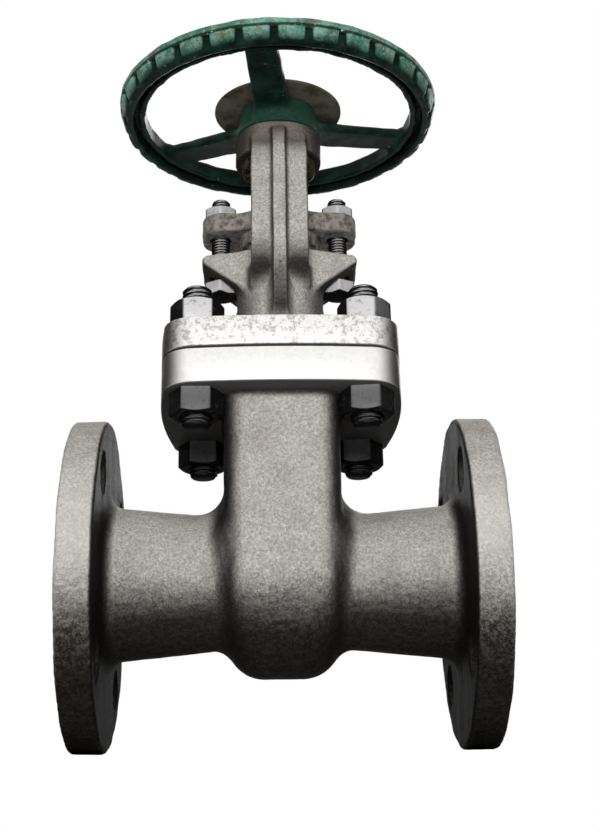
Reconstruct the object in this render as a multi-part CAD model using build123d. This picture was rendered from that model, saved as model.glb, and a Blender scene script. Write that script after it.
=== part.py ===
"""Rising-stem gate valve with flanged ends, an outside yoke and a handwheel.

Millimetres. The pipe runs along +X from the inlet face at x = 0, its axis is y = 0, z = 0,
and +Z points up along the stem. The gate is stored closed.
"""
import os
from math import cos, radians, sin

from build123d import *

# Pipe ends
FACE_TO_FACE = 165.0
BORE_R = 19.0
FLANGE_R = 63.5
FLANGE_THICK = 15.0
RAISED_FACE_R = 36.5
RAISED_FACE_H = 1.6
FLANGE_PCD = 98.5
FLANGE_HOLE_R = 8.0
FLANGE_HOLE_COUNT = 4
PIPE_R_AT_FLANGE = 29.3
PIPE_TAPER = 6.0
PIPE_R_AT_CHAMBER = PIPE_R_AT_FLANGE - PIPE_TAPER
PIPE_ROOT_FILLET = 6.0

# Wedge chamber
STEM_X = FACE_TO_FACE / 2
CHAMBER_HALF_X = 22.6
CHAMBER_HALF_Y = 36.6
CHAMBER_CORNER_R = 11.0
CHAMBER_WALL = 6.6
CAVITY_CORNER_R = 4.0
CHAMBER_ROOT_FILLET = 6.0

# Bolted joint between body and bonnet
BODY_JOINT_BOTTOM_Z = 66.8
BODY_JOINT_TOP_Z = 81.1
GASKET_THICK = 0.5
BONNET_JOINT_TOP_Z = 94.2
NUT_TO_CHAMBER = 1.733
JOINT_CORNER_R = 13.0
JOINT_FRONT_SAGITTA = 1.5
JOINT_SIDE_SAGITTA = 2.5
GASKET_BORDER = 3.5
STUD_R = 6.0
STUD_HOLE_CLEARANCE = 0.6
STUD_BELOW_NUT = 3.8
STUD_ABOVE_NUT = 6.6
STUD_NUT_FLATS = 19.0
STUD_NUT_H = 10.0


def stud_offset():
    """X and Y of the studs from the stem: the slanting flat of a nut clears the chamber's round corner."""
    slant = radians(30)
    corner_x = CHAMBER_HALF_X - CHAMBER_CORNER_R
    corner_y = CHAMBER_HALF_Y - CHAMBER_CORNER_R
    reach = CHAMBER_CORNER_R + NUT_TO_CHAMBER + STUD_NUT_FLATS / 2
    return (reach + corner_x * cos(slant) + corner_y * sin(slant)) / (cos(slant) + sin(slant))


JOINT_STUD_OFFSET = stud_offset()

# Stuffing box and its ears
NECK_R = 18.5
NECK_TOP_Z = 137.0
NECK_ROOT_FILLET = 4.0
RECESS_R = 26.0
RECESS_TOP_Z = 87.5
BACKSEAT_TOP_Z = 99.0
PACKING_R = 14.5
GLAND_DEPTH = 15.0
PACKING_TOP_Z = NECK_TOP_Z - GLAND_DEPTH
BOX_MOUTH_ROOM = 8.0
EAR_TIP_X = 32.4
EAR_HALF_Y = 12.0
EAR_SHOULDER_X = 11.0
EAR_SHOULDER_RISE = 2.4
EAR_TIP_DROP = 2.8
EAR_TIP_THICK = 5.2
EAR_DEPTH = 21.9
EAR_SEAT_DROP = 4.0
EAR_TOP_AT_NECK_Z = NECK_TOP_Z + EAR_SHOULDER_RISE
EAR_TOP_AT_TIP_Z = EAR_TOP_AT_NECK_Z - EAR_TIP_DROP
EAR_TIP_LOW_Z = EAR_TOP_AT_TIP_Z - EAR_TIP_THICK
EAR_LOW_AT_NECK_Z = EAR_TOP_AT_NECK_Z - EAR_DEPTH
EAR_SEAT_Z = EAR_TIP_LOW_Z - EAR_SEAT_DROP
EAR_SEAT_R = 8.0

# Gland
GLAND_R = 14.2
GLAND_SHOULDER_R = 17.0
GLAND_SHOULDER_H = 5.0
GLAND_STAND_OFF = 11.0
GLAND_FLANGE_BOTTOM_Z = NECK_TOP_Z + GLAND_STAND_OFF
GLAND_FLANGE_THICK = 8.5
GLAND_FLANGE_TIP_X = 32.8
GLAND_FLANGE_HALF_Y = 12.0
GLAND_FLANGE_END_R = 9.0
GLAND_FLANGE_MIDDLE_R = 18.0
GLAND_BOLT_X = 25.0
GLAND_BOLT_R = 4.0
GLAND_BOLT_HOLE_CLEARANCE = 0.5
GLAND_BOLT_ABOVE_NUT = 4.5
GLAND_NUT_FLATS = 13.0
GLAND_NUT_H = 6.2
GLAND_HEAD_H = 5.4

# Yoke
RIB_THICK = 5.7
ARM_PLATE_WIDTH = 23.6
HUB_R = 18.6
HUB_BOTTOM_Z = 185.0
HUB_TOP_Z = 197.4
RIB_OUTER = [
    (-17, 103),
    (-26, 113.5),
    (-32.6, 126),
    (-34.8, 139),
    (-34.0, 155),
    (-32.0, 170),
    (-29.8, 182),
    (-26, 189.3),
    (-17, 195.2),
]
RIB_INNER = [(-17, 187), (-21.5, 180), (-23.8, 168), (-25.2, 150), (-24.5, 136), (-17, 126)]
PLATE_OUTER = [(-12, 119.5), (-24.2, 129.5), (-27.9, 139), (-28.2, 150), (-26.9, 168), (-24.6, 181), (-12, 192)]
PLATE_INNER = [(-12, 186), (-19.4, 177), (-21.6, 166), (-22.9, 150), (-22.6, 140), (-20.0, 132.5), (-12, 127.5)]

# Yoke sleeve and handwheel
SLEEVE_R = 12.5
SLEEVE_THREAD_R = 11.0
SLEEVE_COLLAR_R = 16.0
SLEEVE_COLLAR_H = 3.6
SLEEVE_ABOVE_HUB = 9.6
TURNING_CLEARANCE = 0.05
END_PLAY = 0.3
COLLAR_ROOM = 0.6
WHEEL_R = 70.0
PAD_DEPTH = 3.2
WHEEL_WALL_R = WHEEL_R - PAD_DEPTH
RIM_WIDTH = 8.1
WHEEL_INNER_R = WHEEL_WALL_R - RIM_WIDTH
WHEEL_RIM_TOP_Z = 214.0
WHEEL_LIP_RISE = 1.4
WHEEL_LIP_ROUND = 1.2
WHEEL_RIM_WEB = 3.4
WHEEL_OUTER_WALL = 2.9
WHEEL_INNER_WALL = 2.6
WHEEL_INNER_WALL_BOTTOM_Z = 206.6
PAD_COUNT = 30
PAD_GAP = 3.3
PAD_BOTTOM_Z = 205.2
PAD_TOP_Z = 211.6
PAD_DRAFT = 2.0
PAD_SET_BACK = 0.3
WALL_BELOW_PADS = 0.4
SPOKE_COUNT = 3
FRONT_SPOKE_DEG = -97.5
SPOKE_WIDTH_AT_HUB = 16.4
SPOKE_WIDTH_AT_RIM = 13.4
SPOKE_LOW_AT_HUB_Z = 202.2
SPOKE_LOW_AT_RIM_Z = 209.0
SPOKE_DEPTH = 4.4
WHEEL_HUB_BOTTOM_Z = 198.0
WHEEL_HUB_TOP_Z = 211.2
SLEEVE_TOP_Z = WHEEL_HUB_TOP_Z + SLEEVE_ABOVE_HUB
WHEEL_HUB_LOW_R = 18.4
WHEEL_HUB_HIGH_R = 16.6
DISC_R = 28.0
DISC_THICK = 1.2
WHEEL_NUT_FLATS = 32.0
WHEEL_NUT_H = 7.6

# Stem, wedge and seats
STEM_R = 9.0
STEM_TOP_Z = 226.0
STEM_HEAD_R = 7.6
STEM_HEAD_H = 5.0
STEM_WAIST_R = 5.6
STEM_WAIST_H = 5.4
STEM_HEAD_BOTTOM_Z = 27.0
SLOT_CLEARANCE = 0.4
WEDGE_R = 23.6
WEDGE_HALF_THICK = 7.0
WEDGE_DEG = 5.0
WEDGE_BOSS_HALF_X = 8.4
WEDGE_BOSS_HALF_Y = 14.0
WEDGE_BOSS_BOTTOM_Z = 12.0
SEAT_GAP = 0.3
SEAT_BORE_R = 18.6
SEAT_RING_R = 25.0
SEAT_SHANK_R = 22.5
SEAT_SHANK_L = 6.0

SIDES = {"left": -1, "right": 1}
CORNERS = [(-1, -1), (1, -1), (1, 1), (-1, 1)]

os.makedirs("parts", exist_ok=True)


def save(solid, node):
    """Write one named piece."""
    export_step(solid, os.path.join("parts", node + ".step"))


def upright(radius, low, high, x=STEM_X, y=0.0):
    """Round bar along Z between two levels."""
    bar = Cylinder(radius, high - low, align=(Align.CENTER, Align.CENTER, Align.MIN))
    return Pos(x, y, low) * bar


def lying(radius, start, end):
    """Round bar along the pipe axis between two X positions."""
    bar = Cylinder(radius, end - start, align=(Align.CENTER, Align.CENTER, Align.MIN))
    return Pos(start, 0, 0) * Rot(0, 90, 0) * bar


def rounded_block(half_x, half_y, corner, low, high):
    """Vertical prism with a rounded rectangular plan, centred on the stem."""
    plan = RectangleRounded(2 * half_x, 2 * half_y, corner)
    return Pos(STEM_X, 0, low) * extrude(plan, high - low)


def chamber_shape(half_x, half_y, corner, top):
    """U-shaped chamber: the plan runs down to the pipe axis, then turns half round it."""
    upper = rounded_block(half_x, half_y, corner, 0, top)
    half_plan = RectangleRounded(2 * half_x, 2 * half_y, corner) & Pos(0, half_y / 2) * Rectangle(4 * half_x, half_y)
    turned = revolve(half_plan, Axis.X, 360)
    return upper + Pos(STEM_X, 0, 0) * turned


def hexagon(flats, low, high, x, y, hole_r, turn=0.0):
    """Hexagonal nut or head with rounded-off corners at both ends."""
    height = high - low
    block = extrude(RegularPolygon(flats / 2, 6, major_radius=False), height)
    round_off = Pos(0, 0, height / 2) * Cylinder(flats / 2 * 1.13, height)
    round_off = chamfer(round_off.edges(), flats * 0.055)
    nut = Rot(0, 0, turn) * (block & round_off)
    if hole_r:
        nut -= Pos(0, 0, height / 2) * Cylinder(hole_r, height)
    return Pos(x, y, low) * nut


def slanted_keeper(offset, side):
    """Half space beyond a seat plane that leans out by the wedge angle, for one side of the gate."""
    reach = FACE_TO_FACE
    block = Pos(side * reach / 2, 0, 0) * Box(reach, reach, reach)
    leaning = Pos(side * offset, 0, 0) * Rot(0, side * WEDGE_DEG, 0) * block
    return Pos(STEM_X, 0, 0) * leaning


def square_flange(low, high):
    """Bolted joint flange: four round corners on the studs and slightly bowed sides."""
    s = JOINT_STUD_OFFSET
    r = JOINT_CORNER_R
    edge = s + r
    front = edge + JOINT_FRONT_SAGITTA
    flank = edge + JOINT_SIDE_SAGITTA
    diagonal = s + r * cos(radians(45))
    outline = Curve() + [
        ThreePointArc((-s, -edge), (0, -front), (s, -edge)),
        ThreePointArc((s, -edge), (diagonal, -diagonal), (edge, -s)),
        ThreePointArc((edge, -s), (flank, 0), (edge, s)),
        ThreePointArc((edge, s), (diagonal, diagonal), (s, edge)),
        ThreePointArc((s, edge), (0, front), (-s, edge)),
        ThreePointArc((-s, edge), (-diagonal, diagonal), (-edge, s)),
        ThreePointArc((-edge, s), (-flank, 0), (-edge, -s)),
        ThreePointArc((-edge, -s), (-diagonal, -diagonal), (-s, -edge)),
    ]
    flange = Pos(STEM_X, 0, low) * extrude(make_face(outline), high - low)
    for sign_x, sign_y in CORNERS:
        x = STEM_X + sign_x * s
        flange -= upright(STUD_R + STUD_HOLE_CLEARANCE, low, high, x, sign_y * s)
    return flange


def pipe_flange(face_x, inward):
    """End flange with its raised face and bolt holes; inward is +1 or -1 along X."""
    back = face_x + inward * FLANGE_THICK
    rim = face_x + inward * RAISED_FACE_H
    disc = lying(FLANGE_R, min(rim, back), max(rim, back))
    raised = lying(RAISED_FACE_R, min(face_x, rim), max(face_x, rim))
    flange = disc + raised
    for i in range(FLANGE_HOLE_COUNT):
        angle = radians(45 + 360 / FLANGE_HOLE_COUNT * i)
        y = FLANGE_PCD / 2 * cos(angle)
        z = FLANGE_PCD / 2 * sin(angle)
        hole = lying(FLANGE_HOLE_R, min(face_x, back) - 1, max(face_x, back) + 1)
        flange -= Pos(0, y, z) * hole
    return flange - lying(BORE_R, -1, FACE_TO_FACE + 1)


def pipe_neck(face_x, inward):
    """Slightly conical pipe between the end flange and the chamber, with a fillet at the flange."""
    root = PIPE_ROOT_FILLET
    back = FLANGE_THICK
    mid = root * (1 - cos(radians(45)))
    outline = Curve() + [
        Line((back, 0), (back, PIPE_R_AT_FLANGE + root)),
        ThreePointArc(
            (back, PIPE_R_AT_FLANGE + root),
            (back + mid, PIPE_R_AT_FLANGE + mid),
            (back + root, PIPE_R_AT_FLANGE),
        ),
        Line((back + root, PIPE_R_AT_FLANGE), (STEM_X, PIPE_R_AT_CHAMBER)),
        Line((STEM_X, PIPE_R_AT_CHAMBER), (STEM_X, 0)),
        Line((STEM_X, 0), (back, 0)),
    ]
    neck = revolve(make_face(outline), Axis.X, 360)
    if inward < 0:
        neck = Pos(FACE_TO_FACE, 0, 0) * neck.mirror(Plane.YZ)
    return neck


def make_body():
    """Body casting between the end flanges: two pipe necks, the gate chamber and the lower joint flange."""
    outside = chamber_shape(CHAMBER_HALF_X, CHAMBER_HALF_Y, CHAMBER_CORNER_R, BODY_JOINT_BOTTOM_Z + 1)
    for face_x, inward in ((0.0, 1), (FACE_TO_FACE, -1)):
        outside += pipe_neck(face_x, inward)
    near_chamber = [
        edge
        for edge in outside.edges()
        if abs(abs(edge.center().X - STEM_X) - CHAMBER_HALF_X) < CHAMBER_CORNER_R
        and edge.bounding_box().size.Y > PIPE_R_AT_CHAMBER
        and edge.bounding_box().size.Z > PIPE_R_AT_CHAMBER
    ]
    outside = fillet(near_chamber, CHAMBER_ROOT_FILLET)
    outside += square_flange(BODY_JOINT_BOTTOM_Z, BODY_JOINT_TOP_Z)
    body = outside - chamber_shape(
        CHAMBER_HALF_X - CHAMBER_WALL,
        CHAMBER_HALF_Y - CHAMBER_WALL,
        CAVITY_CORNER_R,
        BODY_JOINT_TOP_Z + 1,
    )
    body -= lying(BORE_R, -1, FACE_TO_FACE + 1)
    pocket = CHAMBER_HALF_X - CHAMBER_WALL + SEAT_SHANK_L
    body -= lying(SEAT_SHANK_R, STEM_X - pocket, STEM_X + pocket)
    return body


def make_seat_ring(side):
    """Seat ring pressed into the chamber wall; its working face leans with the wedge."""
    wall = CHAMBER_HALF_X - CHAMBER_WALL
    collar = lying(SEAT_RING_R, 0, wall)
    shank = lying(SEAT_SHANK_R, wall, wall + SEAT_SHANK_L)
    ring = collar + shank - lying(SEAT_BORE_R, -1, wall + SEAT_SHANK_L + 1)
    if side < 0:
        ring = ring.mirror(Plane.YZ)
    ring = Pos(STEM_X, 0, 0) * ring
    return ring & slanted_keeper(WEDGE_HALF_THICK + SEAT_GAP, side)


def make_wedge():
    """Wedge disc with a slotted boss that holds the stem head."""
    disc = lying(WEDGE_R, STEM_X - WEDGE_R, STEM_X + WEDGE_R)
    for side in SIDES.values():
        disc -= slanted_keeper(WEDGE_HALF_THICK, side)
    head_top = STEM_HEAD_BOTTOM_Z + STEM_HEAD_H
    boss_top = head_top + STEM_WAIST_H - SLOT_CLEARANCE
    boss_h = boss_top - WEDGE_BOSS_BOTTOM_Z
    boss = Pos(STEM_X, 0, WEDGE_BOSS_BOTTOM_Z + boss_h / 2) * Box(2 * WEDGE_BOSS_HALF_X, 2 * WEDGE_BOSS_HALF_Y, boss_h)
    wedge = disc + boss
    slot_low = STEM_HEAD_BOTTOM_Z - SLOT_CLEARANCE
    slot_high = head_top + SLOT_CLEARANCE
    slot_half = STEM_HEAD_R + SLOT_CLEARANCE
    across = 4 * WEDGE_BOSS_HALF_X
    wide = Pos(STEM_X, 0, (slot_low + slot_high) / 2) * Box(across, 2 * slot_half, slot_high - slot_low)
    throat_half = STEM_WAIST_R + SLOT_CLEARANCE
    throat = Pos(STEM_X, 0, (slot_high + boss_top + 1) / 2) * Box(across, 2 * throat_half, boss_top + 1 - slot_high)
    return wedge - wide - throat


def make_stem():
    """Stem from the head in the wedge up through the packing and the yoke sleeve."""
    head_top = STEM_HEAD_BOTTOM_Z + STEM_HEAD_H
    shoulder = head_top + STEM_WAIST_H
    stem = upright(STEM_HEAD_R, STEM_HEAD_BOTTOM_Z, head_top)
    stem += upright(STEM_WAIST_R, head_top, shoulder)
    return stem + upright(STEM_R, shoulder, STEM_TOP_Z)


def make_ear(side):
    """Triangular ear beside the stuffing box that carries one gland bolt."""
    tip = EAR_TIP_X
    outline = Polyline(
        (0, EAR_TOP_AT_NECK_Z - 1.5),
        (EAR_SHOULDER_X, EAR_TOP_AT_NECK_Z),
        (tip - 1.6, EAR_TOP_AT_TIP_Z),
        (tip, EAR_TOP_AT_TIP_Z - 1.6),
        (tip, EAR_TIP_LOW_Z + 1.4),
        (tip - 1.4, EAR_TIP_LOW_Z),
        (EAR_SHOULDER_X, EAR_LOW_AT_NECK_Z),
        (0, EAR_LOW_AT_NECK_Z),
        close=True,
    )
    ear = extrude(Plane.XZ * make_face(outline), EAR_HALF_Y, both=True)
    hole_top = max(EAR_TOP_AT_NECK_Z, EAR_TOP_AT_TIP_Z) + 1
    ear -= upright(GLAND_BOLT_R + GLAND_BOLT_HOLE_CLEARANCE, EAR_LOW_AT_NECK_Z, hole_top, GLAND_BOLT_X)
    if side < 0:
        ear = ear.mirror(Plane.YZ)
    return Pos(STEM_X, 0, 0) * ear


def arm_slice(outer, inner, thick):
    """Upright slice of a yoke arm between two smooth curves through side-view points."""
    outline = Curve() + [Spline(*outer), Line(outer[-1], inner[0]), Spline(*inner), Line(inner[-1], outer[0])]
    return extrude(Plane.YZ * make_face(outline), thick / 2, both=True)


def make_arm(front):
    """One yoke arm of T section: a flat plate with a narrow rib on its outer side."""
    arm = arm_slice(RIB_OUTER, RIB_INNER, RIB_THICK) + arm_slice(PLATE_OUTER, PLATE_INNER, ARM_PLATE_WIDTH)
    if front < 0:
        arm = arm.mirror(Plane.XZ)
    return Pos(STEM_X, 0, 0) * arm


def make_bonnet():
    """Bonnet casting: joint flange, stuffing box with ears, two yoke arms and the yoke hub."""
    joint_z = BODY_JOINT_TOP_Z + GASKET_THICK
    neck = upright(NECK_R, BONNET_JOINT_TOP_Z - 1, NECK_TOP_Z)
    slab = square_flange(joint_z, BONNET_JOINT_TOP_Z)
    bonnet = slab + neck
    root = bonnet.edges().filter_by(GeomType.CIRCLE).filter_by_position(
        Axis.Z, BONNET_JOINT_TOP_Z - 0.01, BONNET_JOINT_TOP_Z + 0.01
    )
    bonnet = fillet([edge for edge in root if abs(edge.radius - NECK_R) < 0.01], NECK_ROOT_FILLET)
    for front in (1, -1):
        bonnet += make_arm(front)
    for side in SIDES.values():
        bonnet += make_ear(side)
        bonnet -= upright(EAR_SEAT_R, EAR_LOW_AT_NECK_Z, EAR_SEAT_Z, STEM_X + side * GLAND_BOLT_X)
    bonnet += upright(HUB_R, HUB_BOTTOM_Z, HUB_TOP_Z)
    collar_low = HUB_BOTTOM_Z - END_PLAY - SLEEVE_COLLAR_H
    bonnet -= upright(SLEEVE_COLLAR_R + COLLAR_ROOM, collar_low - 3, HUB_BOTTOM_Z)
    bonnet -= upright(SLEEVE_R + TURNING_CLEARANCE, HUB_BOTTOM_Z - 8, HUB_TOP_Z + 1)
    bonnet -= upright(PACKING_R, BACKSEAT_TOP_Z, NECK_TOP_Z + BOX_MOUTH_ROOM)
    bonnet -= upright(STEM_R + TURNING_CLEARANCE, joint_z - 1, BACKSEAT_TOP_Z + 1)
    return bonnet - upright(RECESS_R, joint_z - 1, RECESS_TOP_Z)


def make_gasket():
    """Flat gasket round the chamber opening."""
    half_x = CHAMBER_HALF_X + GASKET_BORDER
    half_y = CHAMBER_HALF_Y + GASKET_BORDER
    outer = rounded_block(half_x, half_y, half_x - 2, BODY_JOINT_TOP_Z, BODY_JOINT_TOP_Z + GASKET_THICK)
    hole = rounded_block(
        CHAMBER_HALF_X - CHAMBER_WALL,
        CHAMBER_HALF_Y - CHAMBER_WALL,
        CAVITY_CORNER_R,
        BODY_JOINT_TOP_Z,
        BODY_JOINT_TOP_Z + GASKET_THICK,
    )
    return outer - hole


def make_gland():
    """Gland sleeve that presses on the packing, with a shoulder under the gland flange."""
    top = GLAND_FLANGE_BOTTOM_Z
    gland = upright(GLAND_R, PACKING_TOP_Z, top)
    gland += upright(GLAND_SHOULDER_R, top - GLAND_SHOULDER_H, top)
    return gland - upright(STEM_R + TURNING_CLEARANCE, PACKING_TOP_Z, top)


def make_gland_flange():
    """Long flange across the gland, wide in the middle, with a bolt hole at each end."""
    low = GLAND_FLANGE_BOTTOM_Z
    high = low + GLAND_FLANGE_THICK
    flange = rounded_block(GLAND_FLANGE_TIP_X, GLAND_FLANGE_HALF_Y, GLAND_FLANGE_END_R, low, high)
    flange += upright(GLAND_FLANGE_MIDDLE_R, low, high)
    flange -= upright(STEM_R + 1, low, high)
    for side in SIDES.values():
        x = STEM_X + side * GLAND_BOLT_X
        flange -= upright(GLAND_BOLT_R + GLAND_BOLT_HOLE_CLEARANCE, low, high, x)
    return flange


def make_sleeve():
    """Yoke sleeve: collar under the hub, barrel through it and threaded end above the wheel."""
    collar_top = HUB_BOTTOM_Z - END_PLAY
    collar_low = collar_top - SLEEVE_COLLAR_H
    sleeve = upright(SLEEVE_COLLAR_R, collar_low, collar_top)
    sleeve += upright(SLEEVE_R, collar_top, WHEEL_HUB_TOP_Z)
    sleeve += upright(SLEEVE_THREAD_R, WHEEL_HUB_TOP_Z, SLEEVE_TOP_Z)
    return sleeve - upright(STEM_R + TURNING_CLEARANCE, collar_low, SLEEVE_TOP_Z)


def make_rim():
    """Wheel rim: a channel open below, a lip round its top and grip pads under the lip."""
    top = WHEEL_RIM_TOP_Z
    lip_top = top + WHEEL_LIP_RISE
    round_off = WHEEL_LIP_ROUND
    wall_low = PAD_BOTTOM_Z - WALL_BELOW_PADS
    channel_top = top - WHEEL_RIM_WEB
    channel_inner = WHEEL_INNER_R + WHEEL_INNER_WALL
    channel_outer = WHEEL_WALL_R - WHEEL_OUTER_WALL
    outline = Polyline(
        (WHEEL_INNER_R, WHEEL_INNER_WALL_BOTTOM_Z),
        (WHEEL_INNER_R, top - round_off),
        (WHEEL_INNER_R + round_off, top),
        (WHEEL_WALL_R - round_off, top),
        (WHEEL_WALL_R, lip_top),
        (WHEEL_R - round_off, lip_top),
        (WHEEL_R, lip_top - round_off),
        (WHEEL_R, PAD_TOP_Z),
        (WHEEL_WALL_R, PAD_TOP_Z),
        (WHEEL_WALL_R, wall_low),
        (channel_outer, wall_low),
        (channel_outer, channel_top),
        (channel_inner, channel_top),
        (channel_inner, WHEEL_INNER_WALL_BOTTOM_Z),
        close=True,
    )
    rim = revolve(Plane.XZ * make_face(outline), Axis.Z, 360)
    root = WHEEL_WALL_R - WHEEL_OUTER_WALL / 2
    pad_section = Polyline(
        (root, PAD_BOTTOM_Z),
        (WHEEL_R - PAD_DRAFT, PAD_BOTTOM_Z),
        (WHEEL_R - PAD_SET_BACK, PAD_TOP_Z),
        (root, PAD_TOP_Z),
        close=True,
    )
    pads = revolve(Plane.XZ * make_face(pad_section), Axis.Z, 360)
    pad_middle = (PAD_BOTTOM_Z + PAD_TOP_Z) / 2
    reach = WHEEL_R - WHEEL_WALL_R + 1
    for i in range(PAD_COUNT):
        gap = Pos(WHEEL_WALL_R + reach / 2, 0, pad_middle) * Box(reach, PAD_GAP, PAD_TOP_Z - PAD_BOTTOM_Z + 2)
        pads -= Rot(0, 0, FRONT_SPOKE_DEG + 360 / PAD_COUNT * (i + 0.5)) * gap
    return rim + pads


def make_spoke(angle):
    """One spoke: tapers in plan and climbs from the hub to the rim."""
    start = SLEEVE_R + 1.5
    end = WHEEL_INNER_R + WHEEL_INNER_WALL / 2
    side_view = Polyline(
        (start, SPOKE_LOW_AT_HUB_Z),
        (end, SPOKE_LOW_AT_RIM_Z),
        (end, SPOKE_LOW_AT_RIM_Z + SPOKE_DEPTH),
        (start, SPOKE_LOW_AT_HUB_Z + SPOKE_DEPTH),
        close=True,
    )
    plan = Polyline(
        (start, -SPOKE_WIDTH_AT_HUB / 2),
        (end, -SPOKE_WIDTH_AT_RIM / 2),
        (end, SPOKE_WIDTH_AT_RIM / 2),
        (start, SPOKE_WIDTH_AT_HUB / 2),
        close=True,
    )
    bar = extrude(Plane.XZ * make_face(side_view), SPOKE_WIDTH_AT_HUB, both=True)
    outline = Pos(0, 0, WHEEL_HUB_BOTTOM_Z) * extrude(make_face(plan), WHEEL_RIM_TOP_Z + 2 - WHEEL_HUB_BOTTOM_Z)
    return Rot(0, 0, angle) * (bar & outline)


def make_handwheel():
    """Handwheel: tapered hub, three spokes and the padded rim."""
    hub_h = WHEEL_HUB_TOP_Z - WHEEL_HUB_BOTTOM_Z
    cone = Cone(WHEEL_HUB_LOW_R, WHEEL_HUB_HIGH_R, hub_h, align=(Align.CENTER, Align.CENTER, Align.MIN))
    wheel = Pos(0, 0, WHEEL_HUB_BOTTOM_Z) * cone + make_rim()
    for i in range(SPOKE_COUNT):
        wheel += make_spoke(FRONT_SPOKE_DEG + 360 / SPOKE_COUNT * i)
    return Pos(STEM_X, 0, 0) * wheel - upright(SLEEVE_R, WHEEL_HUB_BOTTOM_Z - 1, WHEEL_HUB_TOP_Z + 1)


def main():
    """Build and write every piece."""
    save(make_body(), "valve_body")
    save(pipe_flange(0.0, 1), "inlet_flange")
    save(pipe_flange(FACE_TO_FACE, -1), "outlet_flange")
    save(make_seat_ring(-1), "seat_ring_inlet")
    save(make_seat_ring(1), "seat_ring_outlet")
    save(make_gasket(), "bonnet_gasket")
    save(make_bonnet(), "bonnet_yoke")

    stud_low = BODY_JOINT_BOTTOM_Z - STUD_NUT_H - STUD_BELOW_NUT
    stud_high = BONNET_JOINT_TOP_Z + STUD_NUT_H + STUD_ABOVE_NUT
    for i, (sign_x, sign_y) in enumerate(CORNERS, start=1):
        x = STEM_X + sign_x * JOINT_STUD_OFFSET
        y = sign_y * JOINT_STUD_OFFSET
        stud = chamfer(upright(STUD_R, stud_low, stud_high, x, y).edges(), 1.0)
        save(stud, f"bonnet_stud_{i}")
        top = BONNET_JOINT_TOP_Z
        save(hexagon(STUD_NUT_FLATS, top, top + STUD_NUT_H, x, y, STUD_R), f"bonnet_nut_upper_{i}")
        low = BODY_JOINT_BOTTOM_Z
        save(hexagon(STUD_NUT_FLATS, low - STUD_NUT_H, low, x, y, STUD_R), f"bonnet_nut_lower_{i}")

    packing = upright(PACKING_R, BACKSEAT_TOP_Z, PACKING_TOP_Z)
    save(packing - upright(STEM_R + TURNING_CLEARANCE, BACKSEAT_TOP_Z, PACKING_TOP_Z), "stem_packing")
    save(make_gland(), "gland")
    save(make_gland_flange(), "gland_flange")
    nut_low = GLAND_FLANGE_BOTTOM_Z + GLAND_FLANGE_THICK
    for name, side in SIDES.items():
        x = STEM_X + side * GLAND_BOLT_X
        bolt = hexagon(GLAND_NUT_FLATS, EAR_SEAT_Z - GLAND_HEAD_H, EAR_SEAT_Z, x, 0, 0)
        bolt += upright(GLAND_BOLT_R, EAR_SEAT_Z - 1, nut_low + GLAND_NUT_H + GLAND_BOLT_ABOVE_NUT, x)
        save(bolt, f"gland_bolt_{name}")
        save(hexagon(GLAND_NUT_FLATS, nut_low, nut_low + GLAND_NUT_H, x, 0, GLAND_BOLT_R), f"gland_nut_{name}")

    save(make_sleeve(), "yoke_sleeve")
    save(make_handwheel(), "handwheel")
    disc = upright(DISC_R, WHEEL_HUB_TOP_Z, WHEEL_HUB_TOP_Z + DISC_THICK)
    save(disc - upright(SLEEVE_THREAD_R, WHEEL_HUB_TOP_Z, WHEEL_HUB_TOP_Z + DISC_THICK), "blank_disc")
    nut_base = WHEEL_HUB_TOP_Z + DISC_THICK
    save(hexagon(WHEEL_NUT_FLATS, nut_base, nut_base + WHEEL_NUT_H, STEM_X, 0, SLEEVE_THREAD_R), "wheel_nut")
    save(make_stem(), "stem")
    save(make_wedge(), "wedge")


main()
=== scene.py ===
"""Looks of the flanged gate valve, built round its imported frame.

Shapes are worked out in millimetres from the stem axis and the pipe axis, with +Z up along
the stem, and go into the scene in metres. Castings are distance fields: rounded blocks, bars
and plates joined with fillets, then turned into a mesh.
"""

import math

import bpy
import numpy as np
from mathutils import Matrix, Vector, noise


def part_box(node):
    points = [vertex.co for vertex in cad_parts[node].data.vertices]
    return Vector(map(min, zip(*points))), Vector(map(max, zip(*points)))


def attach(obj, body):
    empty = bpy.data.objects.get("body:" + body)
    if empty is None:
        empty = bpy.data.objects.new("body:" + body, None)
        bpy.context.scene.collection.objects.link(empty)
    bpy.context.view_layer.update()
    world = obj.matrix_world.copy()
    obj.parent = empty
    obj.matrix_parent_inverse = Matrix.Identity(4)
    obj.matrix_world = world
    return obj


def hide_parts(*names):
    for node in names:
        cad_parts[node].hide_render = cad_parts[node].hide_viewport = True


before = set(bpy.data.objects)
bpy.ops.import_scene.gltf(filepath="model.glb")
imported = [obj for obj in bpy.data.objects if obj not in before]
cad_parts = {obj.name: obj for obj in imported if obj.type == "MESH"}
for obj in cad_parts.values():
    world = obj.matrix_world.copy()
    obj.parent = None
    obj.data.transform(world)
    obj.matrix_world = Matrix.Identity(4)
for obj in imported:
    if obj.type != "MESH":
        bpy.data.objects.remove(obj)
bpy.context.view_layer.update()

MM = 0.001

stem_low, stem_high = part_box("stem")
STEM_X = (stem_low.x + stem_high.x) / 2 / MM


def span(node):
    """Lowest and highest corner of a CAD node in millimetres, measured from the stem axis."""
    low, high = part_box(node)
    shift = np.array([STEM_X, 0.0, 0.0])
    return np.array(low) / MM - shift, np.array(high) / MM - shift


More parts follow.
